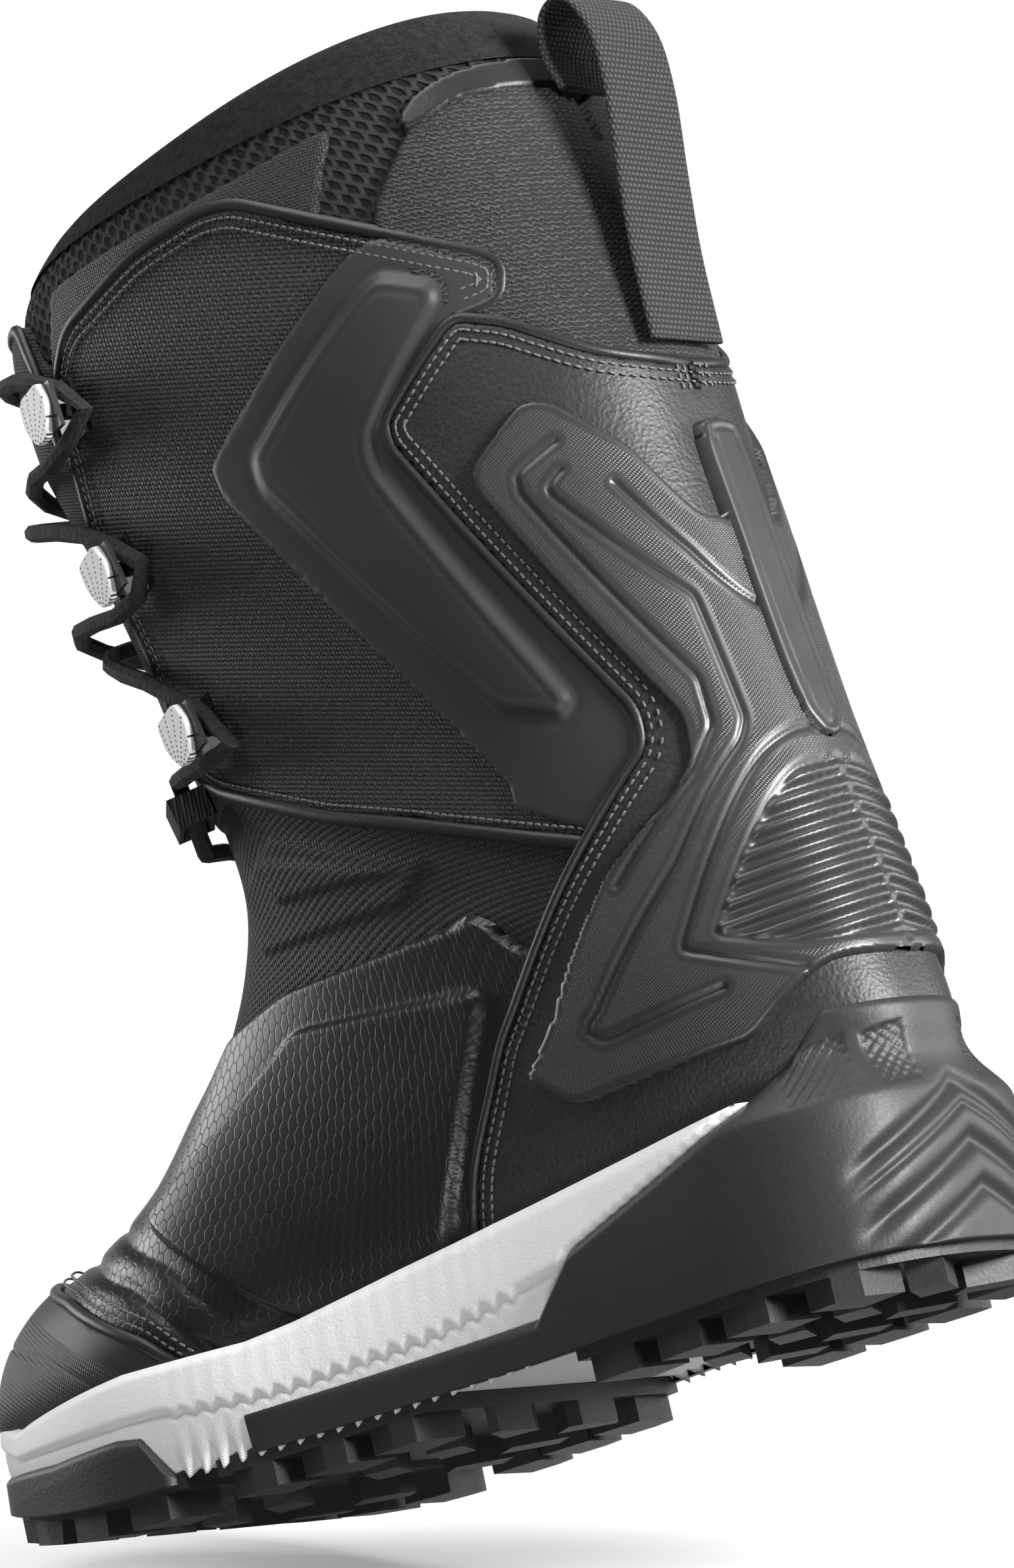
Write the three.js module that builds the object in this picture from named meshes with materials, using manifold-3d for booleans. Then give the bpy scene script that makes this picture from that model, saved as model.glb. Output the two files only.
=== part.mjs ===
// A lace-up snowboard boot, modelled as the pieces it is sewn and moulded from.
// Millimetres, +Z up. The toe points to -X, the lateral side faces -Y, and the
// origin is on the ground under the middle of the boot.
import * as THREE from 'three';
import { mergeVertices } from 'three/addons/utils/BufferGeometryUtils.js';
import { ParametricGeometry } from 'three/addons/geometries/ParametricGeometry.js';
import Module from 'manifold-3d';

const wasm = await Module();
wasm.setup();

// Driving dimensions
const bootLength = 305;
const bootHeight = 332;
const shaftHalfWidth = 50;
const forefootHalfWidth = 54;
const heelHalfWidth = 40;
const shellWall = 3;
const flapWall = 2.2;
const overlayWall = 1.6;
const tongueWall = 1.8;
const linerWall = 6.4;
const lugDepth = 6;
const laceDiameter = 4.5;
const loopWidth = 26;
const loopWall = 1.8;
const bindingWidth = 6;
const capRise = 2;
const bindingRise = 1.6;
const padRise = 0.8;
const spineWidth = 14;
const plateThickness = 4;
const toeSwing = 4;
const toeSpring = 16;
const planSteps = 72;
const laceSteps = 80;
const fitGap = 0.4;
const flexGap = 1.2;
const linerGap = 1;
const collarWall = 8;
const flexLimit = 14;

// What follows from them
const alongRatio = bootLength / 305;
const upRatio = bootHeight / 332;
const anklePivot = [62 * alongRatio, 88 * upRatio];
const reach = 130 * Math.max(alongRatio, upRatio, shaftHalfWidth / 50, forefootHalfWidth / 54);

// Layers, as distances from the outside of the boot: inner face, then outer face
const shellLayer = [-shellWall, 0];
const flapLayer = [-flapWall, 0];
const overlayLayer = [fitGap, fitGap + overlayWall];
const backstayLayer = [flexGap, flexGap + overlayWall];
const tongueOuter = -flapWall - fitGap;
const tongueLayer = [tongueOuter - tongueWall, tongueOuter];
const gussetOuter = tongueLayer[0] - flexGap;
const gussetLayer = [gussetOuter - tongueWall, gussetOuter];
const linerOuter = gussetLayer[0] - linerGap;
const linerLayer = [linerOuter - linerWall, linerOuter];
const collarLayer = [-1 - collarWall, -1];
const loopLevel = 11.9;
const loopAngle = 0.83 * Math.PI;
const loopRise = tongueOuter + fitGap + 4.5;
const soleRoom = 10;
const stiffenerLayer = [-shellWall - fitGap - tongueWall, -shellWall - fitGap];

// Stations along the boot: front or top point, back or bottom point, half width.
// The first is the tip of the toe and the last is the rim of the collar.
const shaft = shaftHalfWidth / 50;
const foot = forefootHalfWidth / 54;
const heel = heelHalfWidth / 40;
const stations = [
  [-149, 44, -149, 44, 0],
  [-146, 59, -146, 30, 21 * foot],
  [-138, 67, -138, 26, 35 * foot],
  [-125, 73, -123, 24, 45 * foot],
  [-107, 77, -101, 22, 51 * foot],
  [-90, 83, -76, 21, 54 * foot],
  [-76, 92, -50, 21, 53 * foot],
  [-64, 105, -22, 22, 49 * foot],
  [-54, 120, 10, 24, 44 * foot],
  [-47, 134, 48, 26, 41 * heel],
  [-43, 149, 92, 27, 40 * heel],
  [-45, 164, 132, 33, 39 * heel],
  [-48, 178, 149, 56, 40 * heel],
  [-52, 192, 147, 83, 41 * heel],
  [-55, 206, 143, 108, 42 * heel],
  [-58, 220, 138, 135, 44 * shaft],
  [-61, 234, 134, 160, 47 * shaft],
  [-64, 247, 131, 184, 49 * shaft],
  [-66, 260, 128, 207, 50 * shaft],
  [-68, 273, 126, 230, 51 * shaft],
  [-69, 286, 123, 252, 51 * shaft],
  [-69, 296, 120, 275, 50 * shaft],
  [-66, 305, 114, 298, 49 * shaft],
  [-60, 310, 106, 318, 47 * shaft],
  [-53, 313, 97, 331, 45 * shaft],
];
const rimLevel = stations.length - 1;
const shellLevel = 22;
const fleeceLevel = 22.8;
const toeLinerLevel = 1.6;
const formLevel = 17;
const toeClosesBelow = 3;
const toeFanLevels = 0.35;
const stepsAround = 30;
const sectionPower = 2.35;
const footSkew = 0.28;

// Catmull-Rom blend of the station rows at any level along the boot
function stationAt(level) {
  const bounded = Math.min(Math.max(level, 0), rimLevel);
  const index = Math.min(Math.floor(bounded), rimLevel - 1);
  const part = bounded - index;
  const rows = [-1, 0, 1, 2].map((step) => stations[Math.min(Math.max(index + step, 0), rimLevel)]);
  const row = rows[1].map((_, k) => {
    const [a, b, c, d] = rows.map((r) => r[k]);
    const square = 2 * a - 5 * b + 4 * c - d;
    const cube = 3 * b - a - 3 * c + d;
    return 0.5 * (2 * b + (c - a) * part + square * part ** 2 + cube * part ** 3);
  });
  return [row[0] * alongRatio, row[1] * upRatio, row[2] * alongRatio, row[3] * upRatio, row[4]];
}

// The toe swings towards the medial side, ahead of the widest part
function swingAt(x) {
  return toeSwing * (Math.max(-70 - x, 0) / 83) ** 2;
}

// A point on the outside of the boot. Angle 0 is the back or underside, pi the front or top,
// and the section is a superellipse that is wider near the sole along the foot.
function outsidePoint(level, angle) {
  const [frontX, frontZ, backX, backZ, half] = stationAt(level);
  const round = (value) => Math.sign(value) * Math.abs(value) ** (2 / sectionPower);
  const along = round(Math.cos(angle));
  const skew = footSkew * Math.min(Math.max(1 - (level - 6) / 6, 0), 1);
  const across = half * round(Math.sin(angle)) * (1 + skew * along) / (1 + 0.35 * skew);
  const x = (frontX + backX) / 2 + (backX - frontX) / 2 * along;
  const z = (frontZ + backZ) / 2 + (backZ - frontZ) / 2 * along;
  return new THREE.Vector3(x, across + swingAt(x / alongRatio), z);
}

// The outward direction there, from the two slopes of the surface
function outwardAt(level, angle) {
  if (level < 0.02) return new THREE.Vector3(-1, 0, 0);
  const low = Math.max(level - 0.05, 0.01);
  const high = Math.min(level + 0.05, rimLevel);
  const up = outsidePoint(high, angle).sub(outsidePoint(low, angle));
  const around = outsidePoint(low, angle + 0.04).sub(outsidePoint(low, angle - 0.04));
  return around.cross(up).normalize();
}

function surfacePoint(level, angle, offset) {
  return outsidePoint(level, angle).addScaledVector(outwardAt(level, angle), offset);
}

function middlePoint(level, offset) {
  return surfacePoint(level, 0, offset).add(surfacePoint(level, Math.PI, offset)).multiplyScalar(0.5);
}

// Solids: three.js geometry in and out of manifold-3d
function toSolid(geometry) {
  const bare = geometry.clone();
  bare.deleteAttribute('normal');
  bare.deleteAttribute('uv');
  const merged = mergeVertices(bare, 1e-3);
  const source = merged.index.array;
  const kept = [];
  for (let i = 0; i < source.length; i += 3) {
    const [a, b, c] = [source[i], source[i + 1], source[i + 2]];
    if (a !== b && b !== c && c !== a) kept.push(a, b, c);
  }
  const make = (triangles) => new wasm.Manifold(new wasm.Mesh({
    numProp: 3,
    vertProperties: new Float32Array(merged.attributes.position.array),
    triVerts: new Uint32Array(triangles),
  }));
  const solid = make(kept);
  if (solid.volume() > 0) return solid;
  const turned = [];
  for (let i = 0; i < kept.length; i += 3) turned.push(kept[i], kept[i + 2], kept[i + 1]);
  return make(turned);
}

function toGeometry(solid) {
  const mesh = solid.getMesh();
  const geometry = new THREE.BufferGeometry();
  const step = mesh.numProp;
  const positions = new Float32Array(mesh.numVert * 3);
  for (let i = 0; i < mesh.numVert; i++) {
    for (let k = 0; k < 3; k++) positions[i * 3 + k] = mesh.vertProperties[i * step + k];
  }
  geometry.setAttribute('position', new THREE.BufferAttribute(positions, 3));
  geometry.setIndex(new THREE.BufferAttribute(new Uint32Array(mesh.triVerts), 1));
  geometry.computeVertexNormals();
  return geometry;
}

// A wall of the boot between two levels and two offsets, open at the top. It is open at
// the bottom too, unless it starts near the toe, where a fan of faces closes it. Every
// wall has its rows at the same levels and angles, so that neighbouring layers keep clear.
function wall([inner, outer], fromLevel, toLevel) {
  const closed = fromLevel < toeClosesBelow;
  const between = [];
  for (let level = Math.floor(fromLevel) + 1; level < toLevel; level += 1) between.push(level);
  const outside = [fromLevel, ...between, toLevel];
  const inside = closed ? [fromLevel + toeFanLevels, ...between, toLevel] : outside;
  const rings = [
    ...outside.map((level) => (angle) => surfacePoint(level, angle, outer)),
    ...inside.map((level) => (angle) => surfacePoint(level, angle, inner)).reverse(),
  ];
  if (closed) {
    rings.unshift(() => middlePoint(outside[0], outer));
    rings.push(() => middlePoint(inside[0], inner));
  }
  const stacks = closed ? rings.length - 1 : rings.length;
  const place = (u, v, target) => {
    const ring = rings[Math.round(v * stacks) % rings.length];
    target.copy(ring((u % 1) * 2 * Math.PI));
  };
  return toSolid(new ParametricGeometry(place, stepsAround, stacks));
}

// The whole inside of an offset of the boot between two levels, closed at both ends
function form(offset, fromLevel, toLevel) {
  const levels = [fromLevel];
  for (let level = Math.floor(fromLevel) + 1; level < toLevel; level += 1) levels.push(level);
  levels.push(toLevel);
  const rows = levels.length + 1;
  const place = (u, v, target) => {
    const row = Math.round(v * rows) - 1;
    const level = levels[Math.min(Math.max(row, 0), levels.length - 1)];
    if (row >= 0 && row < levels.length) {
      return target.copy(surfacePoint(level, (u % 1) * 2 * Math.PI, offset));
    }
    return target.copy(middlePoint(level, offset));
  };
  return toSolid(new ParametricGeometry(place, stepsAround, rows));
}

// Side-view outlines: points are [x, z] in millimetres at the base size
function sidePoint([x, z]) {
  return new THREE.Vector2(x * alongRatio, z * upRatio);
}

function prism(points, side = 'both') {
  const shape = new THREE.Shape(points.map(sidePoint));
  const depth = side === 'both' ? 2 * reach : reach;
  const geometry = new THREE.ExtrudeGeometry(shape, { depth, bevelEnabled: false });
  geometry.rotateX(Math.PI / 2);
  geometry.translate(0, side === 'lateral' ? 0 : reach, 0);
  return toSolid(geometry);
}

function box(center, size) {
  const geometry = new THREE.BoxGeometry(...size);
  geometry.translate(...center);
  return toSolid(geometry);
}

// Turns an outline about the ankle; a positive angle leans it forward, towards the toe
function leaned(points, degrees) {
  const pivot = new THREE.Vector2(anklePivot[0] / alongRatio, anklePivot[1] / upRatio);
  const turn = THREE.MathUtils.degToRad(degrees);
  return points.map(([x, z]) => {
    const point = new THREE.Vector2(x, z).rotateAround(pivot, turn);
    return [point.x, point.y];
  });
}

function shifted(points, alongX, upZ) {
  return points.map(([x, z]) => [x + alongX, z + upZ]);
}

// Materials and the list of pieces
const paints = {
  leather: { color: 0x2a2b2c, roughness: 0.62, metalness: 0 },
  fabric: { color: 0x343536, roughness: 0.85, metalness: 0 },
  rubber: { color: 0x1d1e1f, roughness: 0.7, metalness: 0 },
  overlay: { color: 0x3b3c3e, roughness: 0.5, metalness: 0 },
  foam: { color: 0xe9e9e7, roughness: 0.75, metalness: 0 },
  lining: { color: 0x262728, roughness: 0.95, metalness: 0 },
  board: { color: 0x8d8778, roughness: 0.9, metalness: 0 },
  hook: { color: 0x18191a, roughness: 0.35, metalness: 0.2 },
  plate: { color: 0xf0f0ee, roughness: 0.5, metalness: 0 },
  lace: { color: 0x202122, roughness: 0.9, metalness: 0 },
};
const materials = {};
for (const [name, values] of Object.entries(paints)) {
  materials[name] = new THREE.MeshStandardMaterial(values);
}

const boot = new THREE.Group();
boot.name = 'snowboard_boot';

function addPiece(name, solid, paint) {
  const mesh = new THREE.Mesh(toGeometry(solid), materials[paint]);
  mesh.name = name;
  boot.add(mesh);
}

// Lines that neighbouring panels share, in side view
const vampTop = [[-92, 86], [-73, 89], [-51, 103], [-40, 113], [-13, 117], [45, 115], [59, 119], [64, 107]];
const quarterFront = [[28, 24], [30, 41], [39, 58], [48, 71], [56, 84], [64, 92], [85, 113], [95, 122],
  [113, 138], [113, 147], [71, 225], [71, 231], [93, 250]];
const quarterTop = [[104, 245], [119, 233], [132, 226]];
const flapTop = [[-37, 266], [-35, 280], [-26, 290], [-13, 293], [5, 298], [29, 300], [40, 298], [58, 288],
  [78, 277], [101, 264], [105, 260], [104, 251]];
const flapBottom = [[93, 121], [80, 126], [43, 141], [19, 150], [-22, 169]];
const flapFront = [[-33, 178], [-34, 206], [-39, 242]];
const toeCapTop = [[-170, 74], [-123, 71], [-96, 61], [-64, 43], [-50, 30]];
const counterTop = [[165, 66], [143, 68], [135, 57], [119, 49], [96, 41], [65, 31], [52, 18]];
const backSeam = [[62, 89], [165, 103]];
const innerSeam = [[-100, 186], [-30, 174], [20, 156], [50, 136], [62, 102]];
const boardTop = 30;
const toeBumperLine = [[-134, 22], [-142, 29], [-146, 36], [-147.6, 42]];
const soleTop = [[-170, 46], [-146, 42], [-119, 34], [-70, 36], [-31, 34], [-17, 35], [15, 39], [44,
  42], [119, 49]];

// Shell panels
function addShell() {
  const shell = wall(shellLayer, 0, shellLevel);
  const board = prism([[-170, boardTop], [-170, 0], [170, 0], [170, boardTop]]);
  addPiece('lasting_board', shell.intersect(board), 'board');

  const above = boardTop + fitGap;
  const front = shifted(quarterFront.slice(1, 6), -fitGap, 0);
  const vampOutline = prism([[-170, above], [-170, 86], ...vampTop, ...front.reverse(), [28, above]]);
  const pad = prism([[65, 100], [-10, 107], [-66, 74], [-20, 37], [23, 42], [36, 63]]);
  const raised = wall([-1, padRise], 0, shellLevel).intersect(pad);
  addPiece('vamp', shell.intersect(vampOutline).add(raised.intersect(vampOutline)), 'leather');

  const lower = prism([...quarterFront.slice(1, 5), ...backSeam, [170, above], [29, above]]);
  addPiece('quarter_lower', shell.intersect(lower), 'leather');

  const corner = [[66, 90.8], [66, 93]];
  const upper = prism([[165, 103 + flexGap], ...corner, ...shifted(quarterFront.slice(6), 0.5, 0),
    ...quarterTop, [170, 222]]);
  addPiece('quarter_upper', wall(shellLayer, 8, shellLevel).intersect(upper), 'leather');
}

function addToeAndHeel() {
  const capLine = toeCapTop;
  const cap = prism([...capLine, [-50, soleRoom], [-170, soleRoom]]);
  addPiece('toe_cap', wall([2 * fitGap, capRise], 0, 9).intersect(cap).subtract(soleSpace), 'rubber');
  const bindingLow = shifted(capLine, fitGap, fitGap);
  const bindingHigh = shifted(capLine, 3, bindingWidth).reverse();
  const binding = prism([...bindingLow, ...bindingHigh]);
  addPiece('toe_binding', wall([2 * fitGap, bindingRise], 0, 9).intersect(binding).subtract(soleSpace),
    'fabric');
  const puff = prism([[-170, 44], [-104, 44], [-98, 90], [-170, 90]]);
  addPiece('toe_puff', wall(stiffenerLayer, 0.3, 9).intersect(puff), 'board');
  const inside = prism([[88, 36], [84, 80], [100, 92], [170, 92], [170, 36]]);
  addPiece('heel_stiffener', wall(stiffenerLayer, 7, 17).intersect(inside), 'board');
  const shank = box([5 * alongRatio, 0, 20 * upRatio], [130 * alongRatio, 26, 26 * upRatio]);
  addPiece('shank', wall(stiffenerLayer, 2, 13).intersect(shank), 'board');
}

function addCuff() {
  const flapEdge = shifted(quarterFront.slice(7), -fitGap, 0).reverse();
  const flapOutline = [...flapTop, ...flapEdge, ...flapBottom, ...flapFront];
  const overlayOutline = [[78, 276], [100, 263], [104, 259], [103, 252], ...flapEdge.slice(0, 5), [94, 124],
    [76, 134], [77, 140], [17, 230], [15, 239], [70, 274]];
  const padOutline = [[78, 265], [90, 259], [90, 255], [66, 229], [66, 221], [99, 154], [96, 151], [81,
    157],
    [31, 229], [31, 236], [74, 264]];
  const flapSkin = wall(flapLayer, 8, shellLevel);
  const overlaySkin = wall(overlayLayer, 8, shellLevel);
  const padSkin = wall([overlayLayer[0] + 0.2, overlayLayer[1] + padRise], 8, shellLevel);
  for (const side of ['lateral', 'medial']) {
    addPiece(`cuff_flap_${side}`, flapSkin.intersect(prism(flapOutline, side)), 'fabric');
    const overlay = overlaySkin.intersect(prism(overlayOutline, side));
    const raised = padSkin.intersect(prism(padOutline, side));
    addPiece(`cuff_overlay_${side}`, overlay.add(raised), 'overlay');
  }
}

function addBackstay() {
  const front = [[61, 73], [73, 84], [81, 94], [98, 112], [117, 125], [122, 131], [122, 142], [90, 207],
    [90, 213], [104, 225], [110, 223], [121, 209], [129, 188], [165, 180]];
  const bottom = [[165, 77], [141, 78], [123, 65], [76, 63]];
  const outline = prism([...front, ...bottom]);
  addPiece('backstay', wall(backstayLayer, 8, shellLevel).intersect(outline), 'overlay');
  const finLine = prism([[124, 214], [170, 205], [170, 131], [134, 129]]);
  const slab = box([130 * alongRatio, 0, 170 * upRatio], [80 * alongRatio, spineWidth, 120 * upRatio]);
  const layer = [backstayLayer[1] + fitGap, backstayLayer[1] + fitGap + 1.4];
  addPiece('back_spine', wall(layer, 12, shellLevel).intersect(finLine).intersect(slab), 'rubber');
}

// Inside: tongue, gusset, liner and footbed
function addInside() {
  const tongue = prism([[-100, 297], [-45, 297], [-38, 280], [-26, 286], [8, 292], [8, 166], [-24,
    172], [-100, 152]]);
  addPiece('tongue', wall(tongueLayer, 8, 22).intersect(tongue), 'fabric');
  const gussetLow = [[60, 110], [50, 103], [-30, 103], [-56, 92], [-100, 84]];
  const gusset = prism([...innerSeam.slice(0, 4), ...gussetLow]);
  addPiece('instep_gusset', wall(gussetLayer, 4, 14).intersect(gusset), 'fabric');

  const footPart = prism([[-170, 186], ...innerSeam, ...backSeam, [165, 0], [-170, 0]]);
  addPiece('liner_foot', wall(linerLayer, toeLinerLevel, 15).intersect(footPart), 'lining');
  const lifted = leaned(innerSeam, -(flexLimit + 1.5));
  const cuffSeam = [[63.4, 89 + flexGap], [165, 103 + flexGap]];
  const cuffPart = prism([...lifted, ...cuffSeam, [170, 360], [-170, 360], [-170, 240]]);
  const collarFloor = [[-100, 300], [-44, 300], [-37, 287], [-26, 293], [-13, 296], [5, 301], [29,
    303], [41, 301],
    [59, 291], [79, 280], [102, 267], [108, 262], [107, 252], [104, 248], [120, 236], [170, 226]];
  const collarPart = prism([...collarFloor, [170, 360], [-100, 360]]);
  const cuff = wall(linerLayer, 9, 21).intersect(cuffPart);
  const collar = wall(collarLayer, 17, fleeceLevel).intersect(collarPart);
  const band = wall([collarLayer[0], 0], fleeceLevel, rimLevel);
  const bandRoom = wall([collarLayer[0] - fitGap, fitGap], fleeceLevel - 0.06, rimLevel);
  addPiece('liner_cuff', cuff.add(collar).subtract(bandRoom), 'lining');
  addPiece('liner_collar_band', band, 'lining');

  const bedTop = [[104, 47], [78, 45.3], [50, 44], [20, 43.3], [-15, 42.9], [-50, 42.7], [-90, 42.9],
    [-128, 43.4]];
  const bed = prism([[-128, 0], [104, 0], ...bedTop]);
  addPiece('footbed', form(linerLayer[0] - fitGap, toeLinerLevel + 1, 13).intersect(bed), 'foam');
}

// Sole: half widths along its length, in plan
const soleWidths = [[-153, 0], [-151, 12], [-145, 26], [-134, 39], [-115, 50], [-90, 57], [-68, 58.5],
  [-40, 56.5], [-10, 51], [20, 46.5], [50, 44], [85, 43], [115, 42.5], [135, 38], [147, 27], [152, 13],
    [153, 0]];
const soleSpace = prism([...shifted(soleTop, 0, fitGap), [170, 49.4], [170, -60], [-170, -60]]);
const treadTop = lugDepth + plateThickness;
const counterLine = counterTop.slice(3);

function widthRatio(x) {
  const share = THREE.MathUtils.smoothstep(x, -20, 40);
  return THREE.MathUtils.lerp(foot, heel, share);
}

function halfWidthAt(x) {
  const next = soleWidths.findIndex(([place]) => place > x);
  const [x0, w0] = soleWidths[next - 1];
  const [x1, w1] = soleWidths[next];
  return (w0 + (w1 - w0) * (x - x0) / (x1 - x0)) * widthRatio(x);
}

// How far the sole curls up towards the toe
function springAt(x) {
  return toeSpring * (Math.max(-60 - x, 0) / 93) ** 2;
}

function planBlock(inset, fromZ, toZ) {
  const sideOf = (sign) => soleWidths.map(([x, w]) => new THREE.Vector2(
    (x - Math.sign(x) * inset * (Math.abs(x) > 140)) * alongRatio,
    sign * Math.max(w * widthRatio(x) - inset, 0) + swingAt(x),
  ));
  const points = [...sideOf(-1), ...sideOf(1).slice(1, -1).reverse()];
  const smooth = new THREE.SplineCurve([...points, points[0]]).getPoints(planSteps).slice(0, -1);
  const depth = (toZ - fromZ) * upRatio;
  const geometry = new THREE.ExtrudeGeometry(new THREE.Shape(smooth), { depth, bevelEnabled: false });
  geometry.translate(0, 0, fromZ * upRatio);
  return toSolid(geometry);
}

// The bottom line of a sole layer, following the curl of the toe
function springLine(fromX, toX, height, steps = 8) {
  return Array.from({ length: steps + 1 }, (_, i) => {
    const x = fromX + (toX - fromX) * i / steps;
    return [x, springAt(x) + height];
  });
}

function addSole() {
  const block = planBlock(0, -20, 90);
  const last = form(fitGap, 0, formLevel);
  const toeLine = shifted(toeBumperLine, fitGap, 0);
  const under = springLine(52, -133.5, treadTop + fitGap, 12);
  const front = prism([...toeLine, ...soleTop.slice(1, -1), ...counterLine, ...under]);
  const core = planBlock(7, treadTop + fitGap, 20).intersect(prism([[50, 0], [50, 60], [138, 60], [138,
    0]]));
  addPiece('midsole', block.intersect(front).subtract(last).add(core), 'foam');

  const coreRoom = planBlock(7 - fitGap, 0, 20 + fitGap).intersect(prism([[40, -5], [40, 60], [138.5,
    60], [138.5, -5]]));
  const counter = prism([...shifted(counterTop, 0.8, -fitGap), [56, treadTop + fitGap], [165,
    treadTop + fitGap]]);
  const heelCup = block.intersect(counter).subtract(last).subtract(coreRoom);
  addPiece('heel_counter', heelCup, 'rubber');

  const bumperUnder = springLine(-160, -134.5, treadTop + fitGap, 3);
  const bumper = prism([...toeBumperLine, [-170, 46], ...bumperUnder]);
  addPiece('toe_bumper', block.intersect(bumper).subtract(last), 'rubber');
}

// Tread: three rubber pads, each a plate with its lugs
function lug(x, y, length, width, turn) {
  const geometry = new THREE.BoxGeometry(length, width, lugDepth + 1);
  geometry.rotateZ(THREE.MathUtils.degToRad(turn));
  geometry.rotateY(Math.atan((springAt(x - 1) - springAt(x + 1)) / 2));
  geometry.translate(x * alongRatio, y, springAt(x) + (lugDepth + 1) / 2);
  return toSolid(geometry);
}

function addTread() {
  const pads = [
    { name: 'tread_forefoot', from: -150, to: -56, rows: [-134, -113, -91, -69] },
    { name: 'tread_middle', from: -46, to: 14, rows: [-36, -16, 4] },
    { name: 'tread_heel', from: 60, to: 152, rows: [71, 91, 111, 133] },
  ];
  for (const { name, from, to, rows } of pads) {
    const low = springLine(from, to, lugDepth, 6);
    const high = springLine(to, from, treadTop, 6);
    const plate = planBlock(1.5, -5, 60).intersect(prism([...low, ...high]));
    let lugs = plate;
    for (const x of rows) {
      for (const sign of [-1, 1]) {
        const edge = halfWidthAt(x) - 10;
        lugs = lugs.add(lug(x, sign * edge + swingAt(x), 14, 17, sign * 8));
        lugs = lugs.add(lug(x + 8, sign * edge * 0.36 + swingAt(x), 9, 15, -sign * 30));
      }
    }
    const bounds = planBlock(1.5, -5, 60).intersect(prism([[from, 0], [to, 0], [to, 60], [from, 60]]));
    addPiece(name, lugs.intersect(bounds), 'rubber');
  }
}

// Places a solid made in its own frame (x forward, y up the boot, z outward) on the shaft
function placedOn(solid, level, angle, offset) {
  const outward = outwardAt(level, angle);
  const up = outsidePoint(level + 0.2, angle).sub(outsidePoint(level - 0.2, angle));
  up.addScaledVector(outward, -up.dot(outward)).normalize();
  const forward = up.clone().cross(outward);
  const frame = new THREE.Matrix4().makeBasis(forward, up, outward);
  frame.setPosition(surfacePoint(level, angle, offset));
  return solid.transform(frame.elements);
}

const hookRows = [{ name: 'low', level: 13.8 }, { name: 'middle', level: 16.5 }, { name: 'top',
  level: 19.3 }];
const hookAngle = 0.68 * Math.PI;
const hookBack = 0.15;
const hookReach = 0.1;
const hookSpread = 0.7;
const hookWall = 1.2;
const hookHeight = laceDiameter + 2.2;

function addHooks() {
  for (const [side, sign] of [['lateral', -1], ['medial', 1]]) {
    for (const { name, level } of hookRows) {
      const forward = -sign;
      const base = box([0, 0, hookWall / 2], [11, 15, hookWall]);
      const post = box([forward * 2, 0, hookWall + hookHeight / 2 - 0.1], [2.6, 3.4, hookHeight + 0.4]);
      const arm = box([forward * 3, 0, hookWall * 1.5 + hookHeight], [12, 12, hookWall]);
      const hook = placedOn(base.add(post).add(arm), level, sign * hookAngle, fitGap);
      addPiece(`hook_${side}_${name}`, hook, 'hook');
      const shape = new THREE.Shape([[-5, -7], [6, -7], [8, -4], [8, 4], [6, 7], [-5, 7]].map(
        ([x, y]) => new THREE.Vector2(x * forward, y)));
      const plate = toSolid(new THREE.ExtrudeGeometry(shape, { depth: hookWall, bevelEnabled: false }));
      const rise = fitGap + 2 * hookWall + hookHeight + 0.3;
      const moved = placedOn(plate, level, sign * hookAngle, rise);
      addPiece(`hook_plate_${side}_${name}`, moved, 'plate');
    }
  }
}

// One lace: up from the low loops, round the hooks on alternate sides, ends at the top
const laceRise = fitGap + hookWall + laceDiameter / 2 + 0.65;
const crossingLift = 0.5;

function aroundHook(sign, level) {
  const forward = sign * (hookAngle + hookReach);
  return [
    surfacePoint(level - hookSpread, forward, laceRise),
    surfacePoint(level, sign * (hookAngle - hookBack), laceRise),
    surfacePoint(level + hookSpread, forward, laceRise),
  ];
}

// The stretch over the tongue, between the same side's hook and the one across from it
function across(sign, fromLevel, toLevel, rise) {
  return [0.82, 0.91, 1, 1.09, 1.18].map((share, i) => {
    const level = THREE.MathUtils.lerp(fromLevel + hookSpread, toLevel - hookSpread, (i + 1) / 6);
    const lift = laceRise + rise * Math.sin((i + 1) / 6 * Math.PI) + crossingLift;
    return surfacePoint(level, sign * share * Math.PI, lift);
  });
}

function lacePath() {
  const [low, middle, top] = hookRows.map((row) => row.level);
  const half = (sign, rise) => [
    surfacePoint(loopLevel - 0.45, sign * (loopAngle + 0.02), loopRise),
    surfacePoint(loopLevel + 0.5, sign * loopAngle, loopRise + 0.3),
    ...aroundHook(sign, low),
    ...across(sign, low, middle, rise),
    ...aroundHook(-sign, middle),
    ...across(-sign, middle, top, rise),
    ...aroundHook(sign, top),
    surfacePoint(top + 1, sign * 0.84 * Math.PI, laceRise + crossingLift),
    surfacePoint(top + 1.05, sign * 0.95 * Math.PI, laceRise + crossingLift),
  ];
  const under = [0.9, 1, 1.1].map((share) => surfacePoint(loopLevel - 0.95, -share * Math.PI,
    loopRise + 0.5));
  return [...half(-1, 0).reverse(), ...under, ...half(1, laceDiameter + 1.2)];
}

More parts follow.
